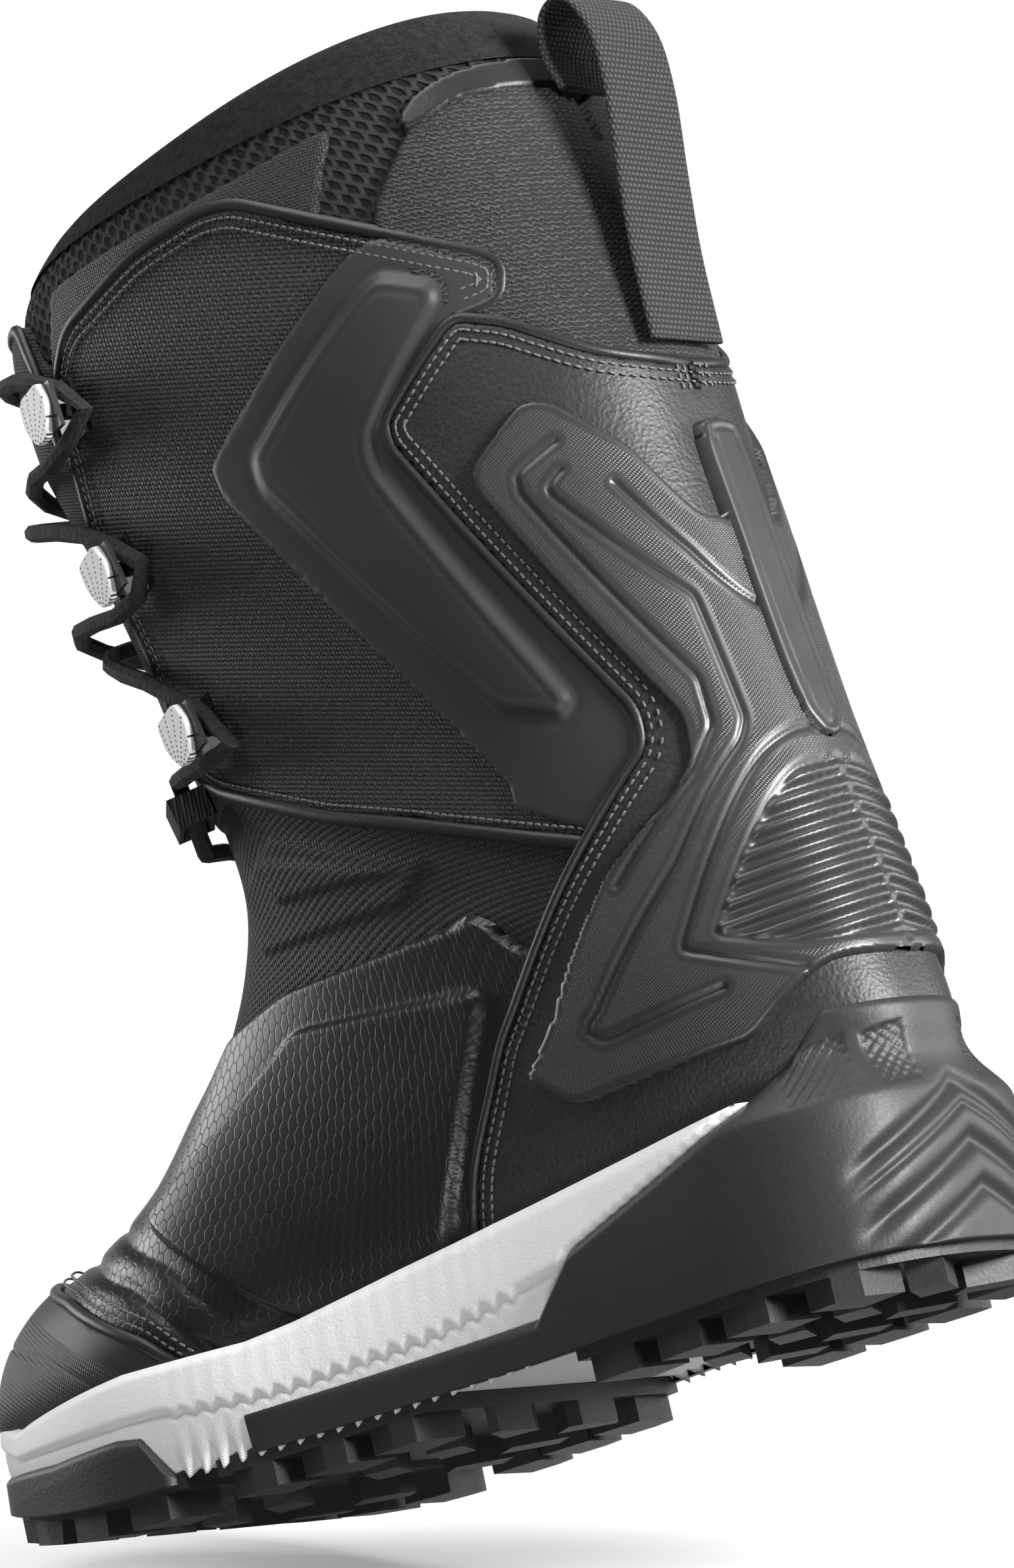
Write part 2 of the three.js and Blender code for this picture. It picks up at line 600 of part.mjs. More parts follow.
function addLace() {
  const section = new THREE.Shape();
  section.absarc(0, 0, laceDiameter / 2, 0, 2 * Math.PI);
  const path = new THREE.CatmullRomCurve3(lacePath(), false, 'centripetal');
  const options = { steps: laceSteps, extrudePath: path, curveSegments: 4, bevelEnabled: false };
  addPiece('lace', toSolid(new THREE.ExtrudeGeometry(section, options)), 'lace');

  for (const [side, sign] of [['lateral', -1], ['medial', 1]]) {
    const band = new THREE.Shape([[-7.4, 0], [7.4, 0], [7, 9.6], [-7, 9.6]].map(([x,
      y]) => new THREE.Vector2(x, y)));
    band.holes.push(new THREE.Path([[-6.2, 1], [6.2, 1], [5.8, 8.4], [-5.8, 8.4]].map(([x,
      y]) => new THREE.Vector2(x, y))));
    const geometry = new THREE.ExtrudeGeometry(band, { depth: 8, bevelEnabled: false });
    geometry.rotateX(Math.PI / 2);
    geometry.translate(0, 4, 0);
    const loop = placedOn(toSolid(geometry), loopLevel, sign * loopAngle, tongueOuter + fitGap);
    addPiece(`lace_loop_${side}`, loop, 'fabric');
  }
}

function addPullLoop() {
  const points = [[118, 300], [115, 310], [117, 319], [124, 321], [130, 311], [131, 296], [129, 276],
    [127.4, 256],
    [127.4, 234]];
  const path = new THREE.CatmullRomCurve3(points.map(([x, z]) => new THREE.Vector3(x * alongRatio, 0,
    z * upRatio)));
  const [w, t] = [loopWidth / 2, loopWall / 2];
  const band = new THREE.Shape([[-w, -t], [w, -t], [w, t], [-w, t]].map(([x,
    y]) => new THREE.Vector2(x, y)));
  const options = { steps: 26, extrudePath: path, bevelEnabled: false };
  addPiece('pull_loop', toSolid(new THREE.ExtrudeGeometry(band, options)), 'fabric');
}

addShell();
addToeAndHeel();
addCuff();
addBackstay();
addInside();
addSole();
addTread();
addHooks();
addLace();
addPullLoop();

export default boot;
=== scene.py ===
import bpy
import math
import numpy as np
from mathutils import Matrix, Vector


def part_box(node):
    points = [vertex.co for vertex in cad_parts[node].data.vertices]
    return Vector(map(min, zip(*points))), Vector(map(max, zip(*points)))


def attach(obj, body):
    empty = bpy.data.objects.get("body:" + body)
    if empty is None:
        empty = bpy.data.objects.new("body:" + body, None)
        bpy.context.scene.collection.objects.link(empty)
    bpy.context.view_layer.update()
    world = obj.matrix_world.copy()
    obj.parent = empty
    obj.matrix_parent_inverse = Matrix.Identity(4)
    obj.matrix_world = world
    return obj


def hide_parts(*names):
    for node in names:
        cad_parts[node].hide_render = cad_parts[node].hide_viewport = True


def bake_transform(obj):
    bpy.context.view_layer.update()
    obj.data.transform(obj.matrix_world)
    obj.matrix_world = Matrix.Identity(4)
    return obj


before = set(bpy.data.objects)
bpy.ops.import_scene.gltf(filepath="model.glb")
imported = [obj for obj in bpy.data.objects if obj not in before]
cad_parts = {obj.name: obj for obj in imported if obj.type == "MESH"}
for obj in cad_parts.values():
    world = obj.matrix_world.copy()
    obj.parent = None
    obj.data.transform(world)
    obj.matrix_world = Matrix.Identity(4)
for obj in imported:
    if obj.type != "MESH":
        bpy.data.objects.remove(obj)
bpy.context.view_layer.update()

# Sizes, from the frame

mm = 0.001


def nodeBox(name):                      # lowest and highest corner of a CAD node, in mm
    low, high = np.array(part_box(name), float) / mm
    return low, high


soleLow, soleHigh = nodeBox("midsole")
_, rimHigh = nodeBox("liner_collar_band")
_, treadHigh = nodeBox("tread_heel")
bumperLow, _ = nodeBox("toe_bumper")
along = (treadHigh[0] - bumperLow[0]) / 304.5
upward = rimHigh[2] / 331.0
across = (soleHigh[1] - soleLow[1]) / 117.0
print("frame", round(along, 3), round(upward, 3), round(across, 3))

# The shape of the boot

# front or top point, back or underside point, half width; from the toe's tip to the rim
stations = np.array([
    [-149, 44, -149, 44, 0], [-146, 59, -146, 30, 21], [-138, 67, -138, 26, 35],
    [-125, 73, -123, 24, 45], [-107, 77, -101, 22, 51], [-90, 83, -76, 21, 54],
    [-76, 92, -50, 21, 53], [-64, 105, -22, 22, 49], [-54, 120, 10, 24, 44],
    [-47, 134, 48, 26, 41], [-43, 149, 92, 27, 40], [-45, 164, 132, 33, 39],
    [-48, 178, 149, 56, 40], [-52, 192, 147, 83, 41], [-55, 206, 143, 108, 42],
    [-58, 220, 138, 135, 44], [-61, 234, 134, 160, 47], [-64, 247, 131, 184, 49],
    [-66, 260, 128, 207, 50], [-68, 273, 126, 230, 51], [-69, 286, 123, 252, 51],
    [-69, 296, 120, 275, 50], [-66, 305, 114, 298, 49], [-60, 310, 106, 318, 47],
    [-53, 313, 97, 331, 45]], float) * [along, upward, along, upward, across]
rimLevel = len(stations) - 1.0
section = {"power": 2.35, "skew": 0.28, "toeSwing": 4 * across}


def blendRows(level):                   # Catmull-Rom between the rows of stations
    t = np.clip(level, 0, rimLevel - 1e-9)
    i = np.floor(t).astype(int)
    f = (t - i)[..., None]
    a, b, c, d = (stations[np.clip(i + k, 0, len(stations) - 1)] for k in (-1, 0, 1, 2))
    return 0.5 * (2 * b + (c - a) * f + (2 * a - 5 * b + 4 * c - d) * f**2 + (3 * b - a - 3 * c + d) * f**3)


def swingAt(x):                         # the toe drifts to +Y with the square of the way past x = -70
    return section["toeSwing"] * (np.maximum(-70 - x / along, 0) / 83) ** 2


def outside(level, angle):              # superellipse section; angle 0 at the back, pi in front
    row = blendRows(level)
    bend = lambda v: np.sign(v) * np.abs(v) ** (2 / section["power"])
    c, s = bend(np.cos(angle)), bend(np.sin(angle))
    skew = section["skew"] * np.clip(1 - (level - 6) / 6, 0, 1)
    y = row[..., 4] * s * (1 + skew * c) / (1 + 0.35 * skew)
    x = (row[..., 0] + row[..., 2]) / 2 + (row[..., 2] - row[..., 0]) / 2 * c
    z = (row[..., 1] + row[..., 3]) / 2 + (row[..., 3] - row[..., 1]) / 2 * c
    return np.stack([x, y + swingAt(x), z], -1)


def normalAt(level, angle):             # cross product of the two slopes, pointing out
    low, high = np.maximum(level - 0.05, 0.01), np.minimum(np.maximum(level, 0.05) + 0.05, rimLevel)
    up = outside(high, angle) - outside(low, angle)
    around = outside(level, angle + 0.03) - outside(level, angle - 0.03)
    n = np.cross(around, up)
    return n / np.maximum(np.linalg.norm(n, axis=-1, keepdims=True), 1e-9)


def surface(level, angle, offset):      # the boot's point pushed out along its normal
    level, angle = np.broadcast_arrays(np.asarray(level, float), np.asarray(angle, float))
    return outside(level, angle) + normalAt(level, angle) * np.asarray(offset)[..., None]


# Outlines on the boot

def rounded(points, radius=4.0, closed=True):   # each corner becomes a short quadratic curve
    p = np.array(points, float)
    n = len(p)
    out = []
    for i in range(n):
        if not closed and i in (0, n - 1):
            out.append(p[i])
            continue
        a, b, c = p[i - 1], p[i], p[(i + 1) % n]
        inLength, outLength = np.linalg.norm(b - a), np.linalg.norm(c - b)
        r = min(radius, inLength * 0.45, outLength * 0.45)
        s, e = b + (a - b) / inLength * r, b + (c - b) / outLength * r
        t = np.linspace(0, 1, 6)[:, None]
        out.extend((1 - t) ** 2 * s + 2 * t * (1 - t) * b + t**2 * e)
    return np.array(out)


def resample(points, step, closed=False):       # equal steps along a polyline
    p = np.vstack([points, points[:1]]) if closed else np.array(points, float)
    d = np.r_[0, np.cumsum(np.linalg.norm(np.diff(p, axis=0), axis=1))]
    n = max(int(round(d[-1] / step)), 2)
    t = np.linspace(0, d[-1], n + 1)
    q = np.stack([np.interp(t, d, p[:, k]) for k in range(p.shape[1])], 1)
    return q[:-1] if closed else q


gridLevel, gridAngle = np.meshgrid(np.linspace(0.3, rimLevel, 240), np.linspace(0.02, math.pi - 0.02, 90),
                                   indexing="ij")
gridPoint = outside(gridLevel, gridAngle).reshape(-1, 3)


def onSide(points, side=-1, view=(0, 2)):       # x, z (or y, z from behind) to level and angle, by Newton's method
    view = list(view)
    target = np.array(points, float) * np.array([along, across, upward])[view]
    spots = gridPoint[:, view] if view[0] == 0 else np.where(gridAngle.reshape(-1, 1) < 1.4, gridPoint[:, view], 1e4)
    near = np.argmin(((spots[None] - target[:, None]) ** 2).sum(-1), axis=1)
    level, angle = gridLevel.ravel()[near], gridAngle.ravel()[near]
    for _ in range(12):
        here = outside(level, angle)[:, view]
        dl = (outside(level + 0.01, angle)[:, view] - here) / 0.01
        da = (outside(level, angle + 0.01)[:, view] - here) / 0.01
        gap = target - here
        det = dl[:, 0] * da[:, 1] - dl[:, 1] * da[:, 0]
        det = np.where(np.abs(det) < 4, 4 * np.sign(det + 1e-9), det)
        stepL = (gap[:, 0] * da[:, 1] - gap[:, 1] * da[:, 0]) / det
        stepA = (dl[:, 0] * gap[:, 1] - dl[:, 1] * gap[:, 0]) / det
        level = np.clip(level + np.clip(stepL, -0.4, 0.4), 0.05, rimLevel)
        angle = np.clip(angle + np.clip(stepA, -0.15, 0.15), 0.0, math.pi)
    missed = np.linalg.norm(outside(level, angle)[:, view] - target, axis=1) > 0.6
    level[missed] = gridLevel.ravel()[near][missed]
    angle[missed] = gridAngle.ravel()[near][missed]
    angle = np.where(angle < 0.03, 0, np.where(angle > math.pi - 0.03, math.pi, angle))
    return np.stack([level, side * angle], 1)


def sideCurve(points, side=-1, radius=4.0, closed=False, step=1.5):     # a rounded curve on one side
    return onSide(resample(rounded(points, radius, closed), step, closed), side)


def mirrored(flat, front=False):        # the same points on the -Y side; front pieces count angles past pi
    return flat * [1, -1] + ([0, 2 * math.pi] if front else [0, 0])


def bothSides(points, front, radius=4.0):       # a ring over the centre line from one half's side view
    half = sideCurve(points, 1, radius)
    return np.vstack([half, mirrored(half, front)[::-1]])


def nearest(points, line):              # for each point the nearest of a line's points, in blocks
    index = np.empty(len(points), int)
    dist = np.empty(len(points))
    for a in range(0, len(points), 4000):
        block = points[a:a + 4000]
        d = ((block**2).sum(1)[:, None] + (line**2).sum(1)[None] - 2 * block @ line.T)
        index[a:a + 4000] = d.argmin(1)
        dist[a:a + 4000] = np.sqrt(np.maximum(d.min(1), 0))
    return dist, index


def toLine(points, line, closed=False):         # distance to the segments beside each point's nearest one
    _, index = nearest(points, line)
    count = len(line)
    best = np.full(len(points), 1e9)
    for shift in (-1, 0):
        i = index + shift
        i = i % count if closed else np.clip(i, 0, count - 2)
        s, e = line[i], line[(i + 1) % count]
        t = ((points - s) * (e - s)).sum(1) / np.maximum(((e - s) ** 2).sum(1), 1e-12)
        t = np.clip(t, 0, 1)
        best = np.minimum(best, np.linalg.norm(points - s - (e - s) * t[:, None], axis=1))
    return best


def isInside(flat, ring):               # even-odd rule, one edge of the ring at a time
    x, y = flat[:, 0], flat[:, 1]
    inside = np.zeros(len(flat), bool)
    for (x0, y0), (x1, y1) in zip(ring, np.roll(ring, -1, axis=0)):
        if y0 == y1:
            continue
        crosses = (y0 > y) != (y1 > y)
        inside ^= crosses & (x < (x1 - x0) * (y - y0) / (y1 - y0) + x0)
    return inside


def smooth(x, a, b):                    # 0 before a, 1 after b, and a smooth step between
    t = np.clip((x - a) / (b - a), 0, 1)
    return t * t * (3 - 2 * t)


# Meshes

def newMesh(name, points, faces, attributes=None, uv=None, smoothShade=True):   # points in mm
    mesh = bpy.data.meshes.new(name)
    points = np.asarray(points, float) * mm
    corners = np.concatenate([f.ravel() for f in faces]).astype(np.int32)
    sizes = np.concatenate([np.full(len(f), f.shape[1]) for f in faces]).astype(np.int32)
    starts = np.r_[0, np.cumsum(sizes)[:-1]].astype(np.int32)
    mesh.vertices.add(len(points))
    mesh.vertices.foreach_set("co", points.astype(np.float32).ravel())
    mesh.loops.add(len(corners))
    mesh.loops.foreach_set("vertex_index", corners)
    mesh.polygons.add(len(sizes))
    mesh.polygons.foreach_set("loop_start", starts)
    mesh.polygons.foreach_set("loop_total", sizes)
    mesh.update(calc_edges=True)
    mesh.polygons.foreach_set("use_smooth", np.full(len(sizes), smoothShade))
    if uv is not None:
        layer = mesh.uv_layers.new(name="UVMap")
        layer.data.foreach_set("uv", (uv[corners] * mm).astype(np.float32).ravel())
    for key, values in (attributes or {}).items():
        a = mesh.attributes.new(key, "FLOAT", "POINT")
        a.data.foreach_set("value", np.asarray(values, np.float32))
    mesh.validate()
    obj = bpy.data.objects.new(name, mesh)
    bpy.context.scene.collection.objects.link(obj)
    return obj


def gridFaces(rows, columns, closeColumns=False, start=0):      # quads between the points of a grid
    i, j = np.meshgrid(np.arange(rows - 1), np.arange(columns if closeColumns else columns - 1), indexing="ij")
    k = (j + 1) % columns
    quad = np.stack([i * columns + j, i * columns + k, (i + 1) * columns + k, (i + 1) * columns + j], -1)
    return quad.reshape(-1, 4) + start


def lineLength(points):                 # the sum of the steps between points
    return np.linalg.norm(np.diff(points, axis=0), axis=1).sum()


def panel(name, ring, step, height):
    # A sheet on the boot inside a ring of level, angle points. A grid covers the ring, the grid
    # points near the ring move onto it, and each face keeps its corners that are inside.
    levels, angles = ring[:, 0], ring[:, 1]
    pad = 0.12
    loL, hiL = max(levels.min() - pad, 0.02), min(levels.max() + pad, rimLevel)
    loA, hiA = angles.min() - 0.06, angles.max() + 0.06
    ringPoints = outside(levels, angles)
    probeL, probeA = np.linspace(loL, hiL, 60), np.linspace(loA, hiA, 60)
    lengthL = max(lineLength(outside(probeL, np.full(60, a))) for a in np.linspace(loA, hiA, 7))
    lengthA = max(lineLength(outside(np.full(60, q), probeA)) for q in np.linspace(loL, hiL, 7))
    rows, columns = int(lengthL / step) + 2, int(lengthA / step) + 2
    gl, ga = np.meshgrid(np.linspace(loL, hiL, rows), np.linspace(loA, hiA, columns), indexing="ij")
    flat = np.stack([gl.ravel(), ga.ravel()], 1)
    point = outside(flat[:, 0], flat[:, 1])
    grid = point.reshape(rows, columns, 3)
    stepA = np.linalg.norm(np.gradient(grid, axis=1), axis=-1).ravel()
    stepL = np.linalg.norm(np.gradient(grid, axis=0), axis=-1).ravel()
    inside = isInside(flat * [1, 10], ring * [1, 10])
    _, index = nearest(point, ringPoints)
    dist = toLine(point, ringPoints, True)
    cell = np.maximum(np.maximum(stepA, stepL), 0.2)
    snap = dist < 0.55 * cell
    i = index[snap]
    s, e = ring[i], ring[(i + 1) % len(ring)]
    back = ring[i - 1]
    best = np.full(len(i), 1e9)
    moved = s.copy()
    for a, b in ((s, e), (back, s)):
        pa, pb = outside(a[:, 0], a[:, 1]), outside(b[:, 0], b[:, 1])
        t = ((point[snap] - pa) * (pb - pa)).sum(1) / np.maximum(((pb - pa) ** 2).sum(1), 1e-12)
        t = np.clip(t, 0, 1)
        d = np.linalg.norm(point[snap] - pa - (pb - pa) * t[:, None], axis=1)
        take = d < best
        best[take] = d[take]
        moved[take] = (a + (b - a) * t[:, None])[take]
    flat[snap] = moved
    kept = inside | snap
    dist = np.where(snap, 0, dist)
    quads = gridFaces(rows, columns)
    counts = kept[quads].sum(1)
    allOnEdge = snap[quads].all(1)
    middle = flat[quads].mean(1)
    good = (counts == 4) & (~allOnEdge | isInside(middle * [1, 10], ring * [1, 10]))
    full = quads[good]
    three = quads[counts == 3]
    order = np.argsort(~kept[three], axis=1, kind="stable")[:, :3]
    order.sort(axis=1)
    tris = np.take_along_axis(three, order, axis=1)
    used = np.zeros(len(flat), bool)
    used[full.ravel()] = True
    used[tris.ravel()] = True
    number = np.cumsum(used) - 1
    flat, dist = flat[used], dist[used]
    base = outside(flat[:, 0], flat[:, 1])
    offset, attributes = height(base, flat, dist)
    points = base + normalAt(flat[:, 0], flat[:, 1]) * offset[:, None]
    uvGrid = np.stack([
        np.cumsum(np.linalg.norm(np.diff(grid, axis=1, prepend=grid[:, :1]), axis=-1), axis=1),
        np.cumsum(np.linalg.norm(np.diff(grid, axis=0, prepend=grid[:1]), axis=-1), axis=0)], -1)
    uvGrid[..., 0] -= uvGrid[:, columns // 2, 0][:, None]
    uvGrid[..., 1] -= uvGrid[rows // 2, :, 1][None]
    uv = uvGrid.reshape(-1, 2)[used]
    obj = newMesh(name, points, [number[full], number[tris]], attributes, uv)
    print("panel", name, len(points))
    return obj


def rolled(dist, top, under, radius):   # a sheet's edge falls to what is under it along a quarter circle
    t = np.clip(dist / radius, 0, 1)
    return under + (top - under) * np.sqrt(1 - (1 - t) ** 2)


def sweep(name, centers, normals, profile):
    # A profile in the plane of the normal and the sideways direction, carried along the centres, with caps
    c, n = np.asarray(centers, float), np.asarray(normals, float)
    tangent = np.gradient(c, axis=0)
    tangent /= np.maximum(np.linalg.norm(tangent, axis=1, keepdims=True), 1e-9)
    n = n - tangent * (n * tangent).sum(1, keepdims=True)
    n /= np.maximum(np.linalg.norm(n, axis=1, keepdims=True), 1e-9)
    side = np.cross(tangent, n)
    p = np.asarray(profile, float)
    points = c[:, None] + side[:, None] * p[None, :, :1] + n[:, None] * p[None, :, 1:]
    rows, columns = len(c), len(p)
    length = np.r_[0, np.cumsum(np.linalg.norm(np.diff(points[:, 0], axis=0), axis=1))]
    around = np.r_[0, np.cumsum(np.linalg.norm(np.diff(p, axis=0), axis=1))]
    uv = np.stack(np.broadcast_arrays(around[None], length[:, None]), -1).reshape(-1, 2)
    faces = [gridFaces(rows, columns, True), np.arange(columns)[None, ::-1],
             np.arange(columns)[None] + (rows - 1) * columns]
    return newMesh(name, points.reshape(-1, 3), faces, None, uv)


def circle(radius, count=10, squash=1.0):       # counter-clockwise ring of points
    t = np.linspace(0, 2 * math.pi, count, endpoint=False)
    return np.stack([np.cos(t) * radius, np.sin(t) * radius * squash], 1)


def scattered(name, shape, faces, centers, xAxis, yAxis, zAxis):
    # Copies of one small shape, each in its own axes
    basis = np.stack([xAxis, yAxis, zAxis], -1)
    points = np.einsum("nij,kj->nki", basis, shape) + centers[:, None]
    count = len(shape)
    copies = [(f[None] + (np.arange(len(centers)) * count)[:, None, None]).reshape(-1, f.shape[1]) for f in faces]
    return newMesh(name, points.reshape(-1, 3), copies)


stitchShape = {"length": 1.75, "width": 0.78, "height": 0.6, "pitch": 2.35, "tilt": 0.06}


def capsule(length, width, height):     # a long bead, pointed at both ends; six-sided rings
    lengths = np.array([-0.5, -0.36, 0, 0.36, 0.5]) * length
    size = np.array([0.25, 0.85, 1, 0.85, 0.25])
    t = np.linspace(0, 2 * math.pi, 6, endpoint=False)
    ring = np.stack([np.cos(t) * width / 2, np.sin(t) * height / 2], 1)
    points = np.array([[a, *(q * s)] for a, s in zip(lengths, size) for q in ring])
    faces = [gridFaces(5, 6, True)[:, ::-1], np.arange(6)[None], np.arange(6)[None, ::-1] + 24]
    return points, faces


def seam(name, line, offset, shift):
    # Stitches along a line of level, angle points, moved sideways over the surface by shift
    pitch = stitchShape["pitch"]
    dense = np.array(line, float)
    point = outside(dense[:, 0], dense[:, 1])
    d = np.r_[0, np.cumsum(np.linalg.norm(np.diff(point, axis=0), axis=1))]
    t = np.arange(pitch, d[-1] - pitch, pitch)
    flat = np.stack([np.interp(t, d, dense[:, k]) for k in (0, 1)], 1)
    ahead = np.stack([np.interp(t + 0.5, d, dense[:, k]) for k in (0, 1)], 1)
    normal = normalAt(flat[:, 0], flat[:, 1])
    here = outside(flat[:, 0], flat[:, 1])
    tangent = outside(ahead[:, 0], ahead[:, 1]) - here
    tangent -= normal * (tangent * normal).sum(1, keepdims=True)
    tangent /= np.maximum(np.linalg.norm(tangent, axis=1, keepdims=True), 1e-9)
    side = np.cross(normal, tangent)
    center = here + side * shift + normal * offset
    shape, faces = capsule(stitchShape["length"], stitchShape["width"], stitchShape["height"])
    tangent = tangent + normal * stitchShape["tilt"]
    return scattered(name, shape, faces, center, tangent, side, normal)


def piping(name, line, offset, radius):         # a folded tape along an edge, four fifths as high as wide
    flat = np.array(line, float)
    normal = normalAt(flat[:, 0], flat[:, 1])
    center = outside(flat[:, 0], flat[:, 1]) + normal * offset
    return sweep(name, center, normal, circle(radius, 10, 0.8))


# Shader maths

class Field:                            # one socket of a material, with arithmetic
    def __init__(self, shader, socket):
        self.shader, self.socket = shader, socket

    def math(self, kind, *others, swap=False):
        values = [self, *others]
        if swap:
            values = [others[0], self]
        node = self.shader.tree.nodes.new("ShaderNodeMath")
        node.operation = kind
        for slot, value in zip(node.inputs, values):
            self.shader.feed(slot, value)
        return Field(self.shader, node.outputs[0])

    def __add__(self, o): return self.math("ADD", o)
    def __radd__(self, o): return self.math("ADD", o)
    def __sub__(self, o): return self.math("SUBTRACT", o)
    def __rsub__(self, o): return self.math("SUBTRACT", o, swap=True)
    def __mul__(self, o): return self.math("MULTIPLY", o)
    def __rmul__(self, o): return self.math("MULTIPLY", o)
    def __truediv__(self, o): return self.math("DIVIDE", o)
    def abs(self): return self.math("ABSOLUTE")
    def sin(self): return self.math("SINE")
    def power(self, o): return self.math("POWER", o)
    def low(self, o): return self.math("MINIMUM", o)
    def high(self, o): return self.math("MAXIMUM", o)
    def floor(self): return self.math("FLOOR")
    def fraction(self): return self.math("FRACT")

    def band(self, a, b):               # 0 at a, 1 at b, smooth between
        return self.shader.node("ShaderNodeMapRange", {"interpolation_type": "SMOOTHSTEP"},
                                {"Value": self, "From Min": a, "From Max": b}, "Result")


class Shader:                           # a material with one Principled surface
    def __init__(self, name, **fixed):
        self.material = bpy.data.materials.new(name)
        self.material.use_nodes = True
        self.tree = self.material.node_tree
        self.surface = next(n for n in self.tree.nodes if n.type == "BSDF_PRINCIPLED")
        for key, value in fixed.items():
            self.surface.inputs[key.replace("_", " ")].default_value = value

    def feed(self, slot, value):
        if isinstance(value, Field):
            self.tree.links.new(value.socket, slot)
        else:
            slot.default_value = value

    def node(self, kind, settings, inputs, output=0):
        node = self.tree.nodes.new(kind)
        for key, value in settings.items():
            setattr(node, key, value)
        for key, value in inputs.items():
            self.feed(node.inputs[key], value)
        return Field(self, node.outputs[output])

    def place(self, source, scale):     # UV or Object coordinates, in millimetres times scale
        spot = self.node("ShaderNodeTexCoord", {}, {}, source)
        size = scale if isinstance(scale, tuple) else (scale,) * 3
        return self.node("ShaderNodeVectorMath", {"operation": "MULTIPLY"},
                         {0: spot, 1: tuple(1000 * q for q in size)})

    def parts(self, vector):            # the x, y and z of a vector
        node = self.tree.nodes.new("ShaderNodeSeparateXYZ")
        self.feed(node.inputs[0], vector)
        return Field(self, node.outputs[0]), Field(self, node.outputs[1]), Field(self, node.outputs[2])

    def noise(self, vector, scale, detail=2.0, rough=0.5):
        return self.node("ShaderNodeTexNoise", {},
                         {"Vector": vector, "Scale": scale, "Detail": detail, "Roughness": rough})

    def cells(self, vector, scale):     # smooth distance to the middle of a cell
        return self.node("ShaderNodeTexVoronoi", {"feature": "SMOOTH_F1"},
                         {"Vector": vector, "Scale": scale, "Randomness": 1.0}, "Distance")

    def attribute(self, name):          # a mesh's own number at each point
        return self.node("ShaderNodeAttribute", {"attribute_name": name}, {}, "Fac")

    def tint(self, factor, a, b):       # a slightly cool grey, a at 0 and b at 1
        mix = self.tree.nodes.new("ShaderNodeMix")
        mix.data_type = "RGBA"
        self.feed(mix.inputs[0], factor)
        mix.inputs[6].default_value = (a, a, a * 1.02, 1)
        mix.inputs[7].default_value = (b, b, b * 1.02, 1)
        return Field(self, mix.outputs[2])

    def finish(self, color, rough, height=None, depth=0.3):     # height is in units of depth millimetres
        self.feed(self.surface.inputs["Base Color"], color)
        self.feed(self.surface.inputs["Roughness"], rough)
        if height is not None:
            bump = self.node("ShaderNodeBump", {}, {"Height": height, "Distance": depth * mm})
            self.feed(self.surface.inputs["Normal"], bump)
        return self.material


def hexLines(u, v):
    # Distance to the walls of hexagonal cells, 0 at a wall and 0.5 at a middle: two shifted grids of cells one wide and root 3 tall; the nearer middle counts
    best = None
    for shift in (0.0, 0.5):
        x = ((u + shift).fraction() - 0.5).abs()
        y = ((v / math.sqrt(3) + shift).fraction() - 0.5).abs() * math.sqrt(3)
        d = x.high(x * 0.5 + y * (math.sqrt(3) / 2))
        best = d if best is None else best.low(d)
    return 0.5 - best


def leather(name="leather"):            # fine pebble grain: cells 0.9 mm wide, and broad soft wear
    look = {"dark": 0.012, "light": 0.026, "rough": 0.40, "grain": 1.05, "depth": 0.13}
    s = Shader(name, Specular_IOR_Level=0.42)
    at = s.place("Object", 1.0)
    pebble = s.cells(at, look["grain"])
    broad = s.noise(at, 0.05, 3)
    return s.finish(s.tint(pebble * 0.6 + broad * 0.5, look["dark"], look["light"]),
                    look["rough"] + pebble * 0.12 + (broad - 0.5) * 0.14,
                    1 - pebble + s.noise(at, 3.0, 2) * 0.4, look["depth"])


def weave(name, pitch, dark, light, depth=0.35, rough=0.78, tilt=0.0, source="UV"):
    # plain weave: warp and weft humps in turn, from the signs of two sine waves
    s = Shader(name, Specular_IOR_Level=0.25, Sheen_Weight=0.02)
    u, v, _ = s.parts(s.place(source, 1.0))
    if tilt:
        u, v = u * math.cos(tilt) + v * math.sin(tilt), v * math.cos(tilt) - u * math.sin(tilt)
    grit = s.noise(s.place(source, 1.0), 1.6, 2)
    u, v = (u + grit * 0.3) / pitch, (v + grit * 0.3) / pitch
    checker = ((u.floor() + v.floor()) * 0.5).fraction() * 2
    warp = (u * math.pi).sin().abs() * (0.55 + 0.45 * (v * math.pi).sin().abs())
    weft = (v * math.pi).sin().abs() * (0.55 + 0.45 * (u * math.pi).sin().abs())
    cloth = warp * checker + weft * (1 - checker)
    speck = s.noise(s.place(source, 1.0), 0.9, 3).band(0.42, 0.68)
    return s.finish(s.tint(cloth * (0.35 + speck * 0.65), dark, light), rough - cloth * 0.15, cloth, depth)


def smoothPlastic(name, dark, light, rough, grain=1.6, depth=0.03):     # matte skin with very fine grain
    s = Shader(name, Specular_IOR_Level=0.45)
    at = s.place("Object", 1.0)
    fine = s.noise(at, grain, 3)
    broad = s.noise(at, 0.06, 2)
    return s.finish(s.tint(fine * 0.5 + broad * 0.5, dark, light),
                    rough + (broad - 0.5) * 0.12 + (fine - 0.5) * 0.08, fine, depth)


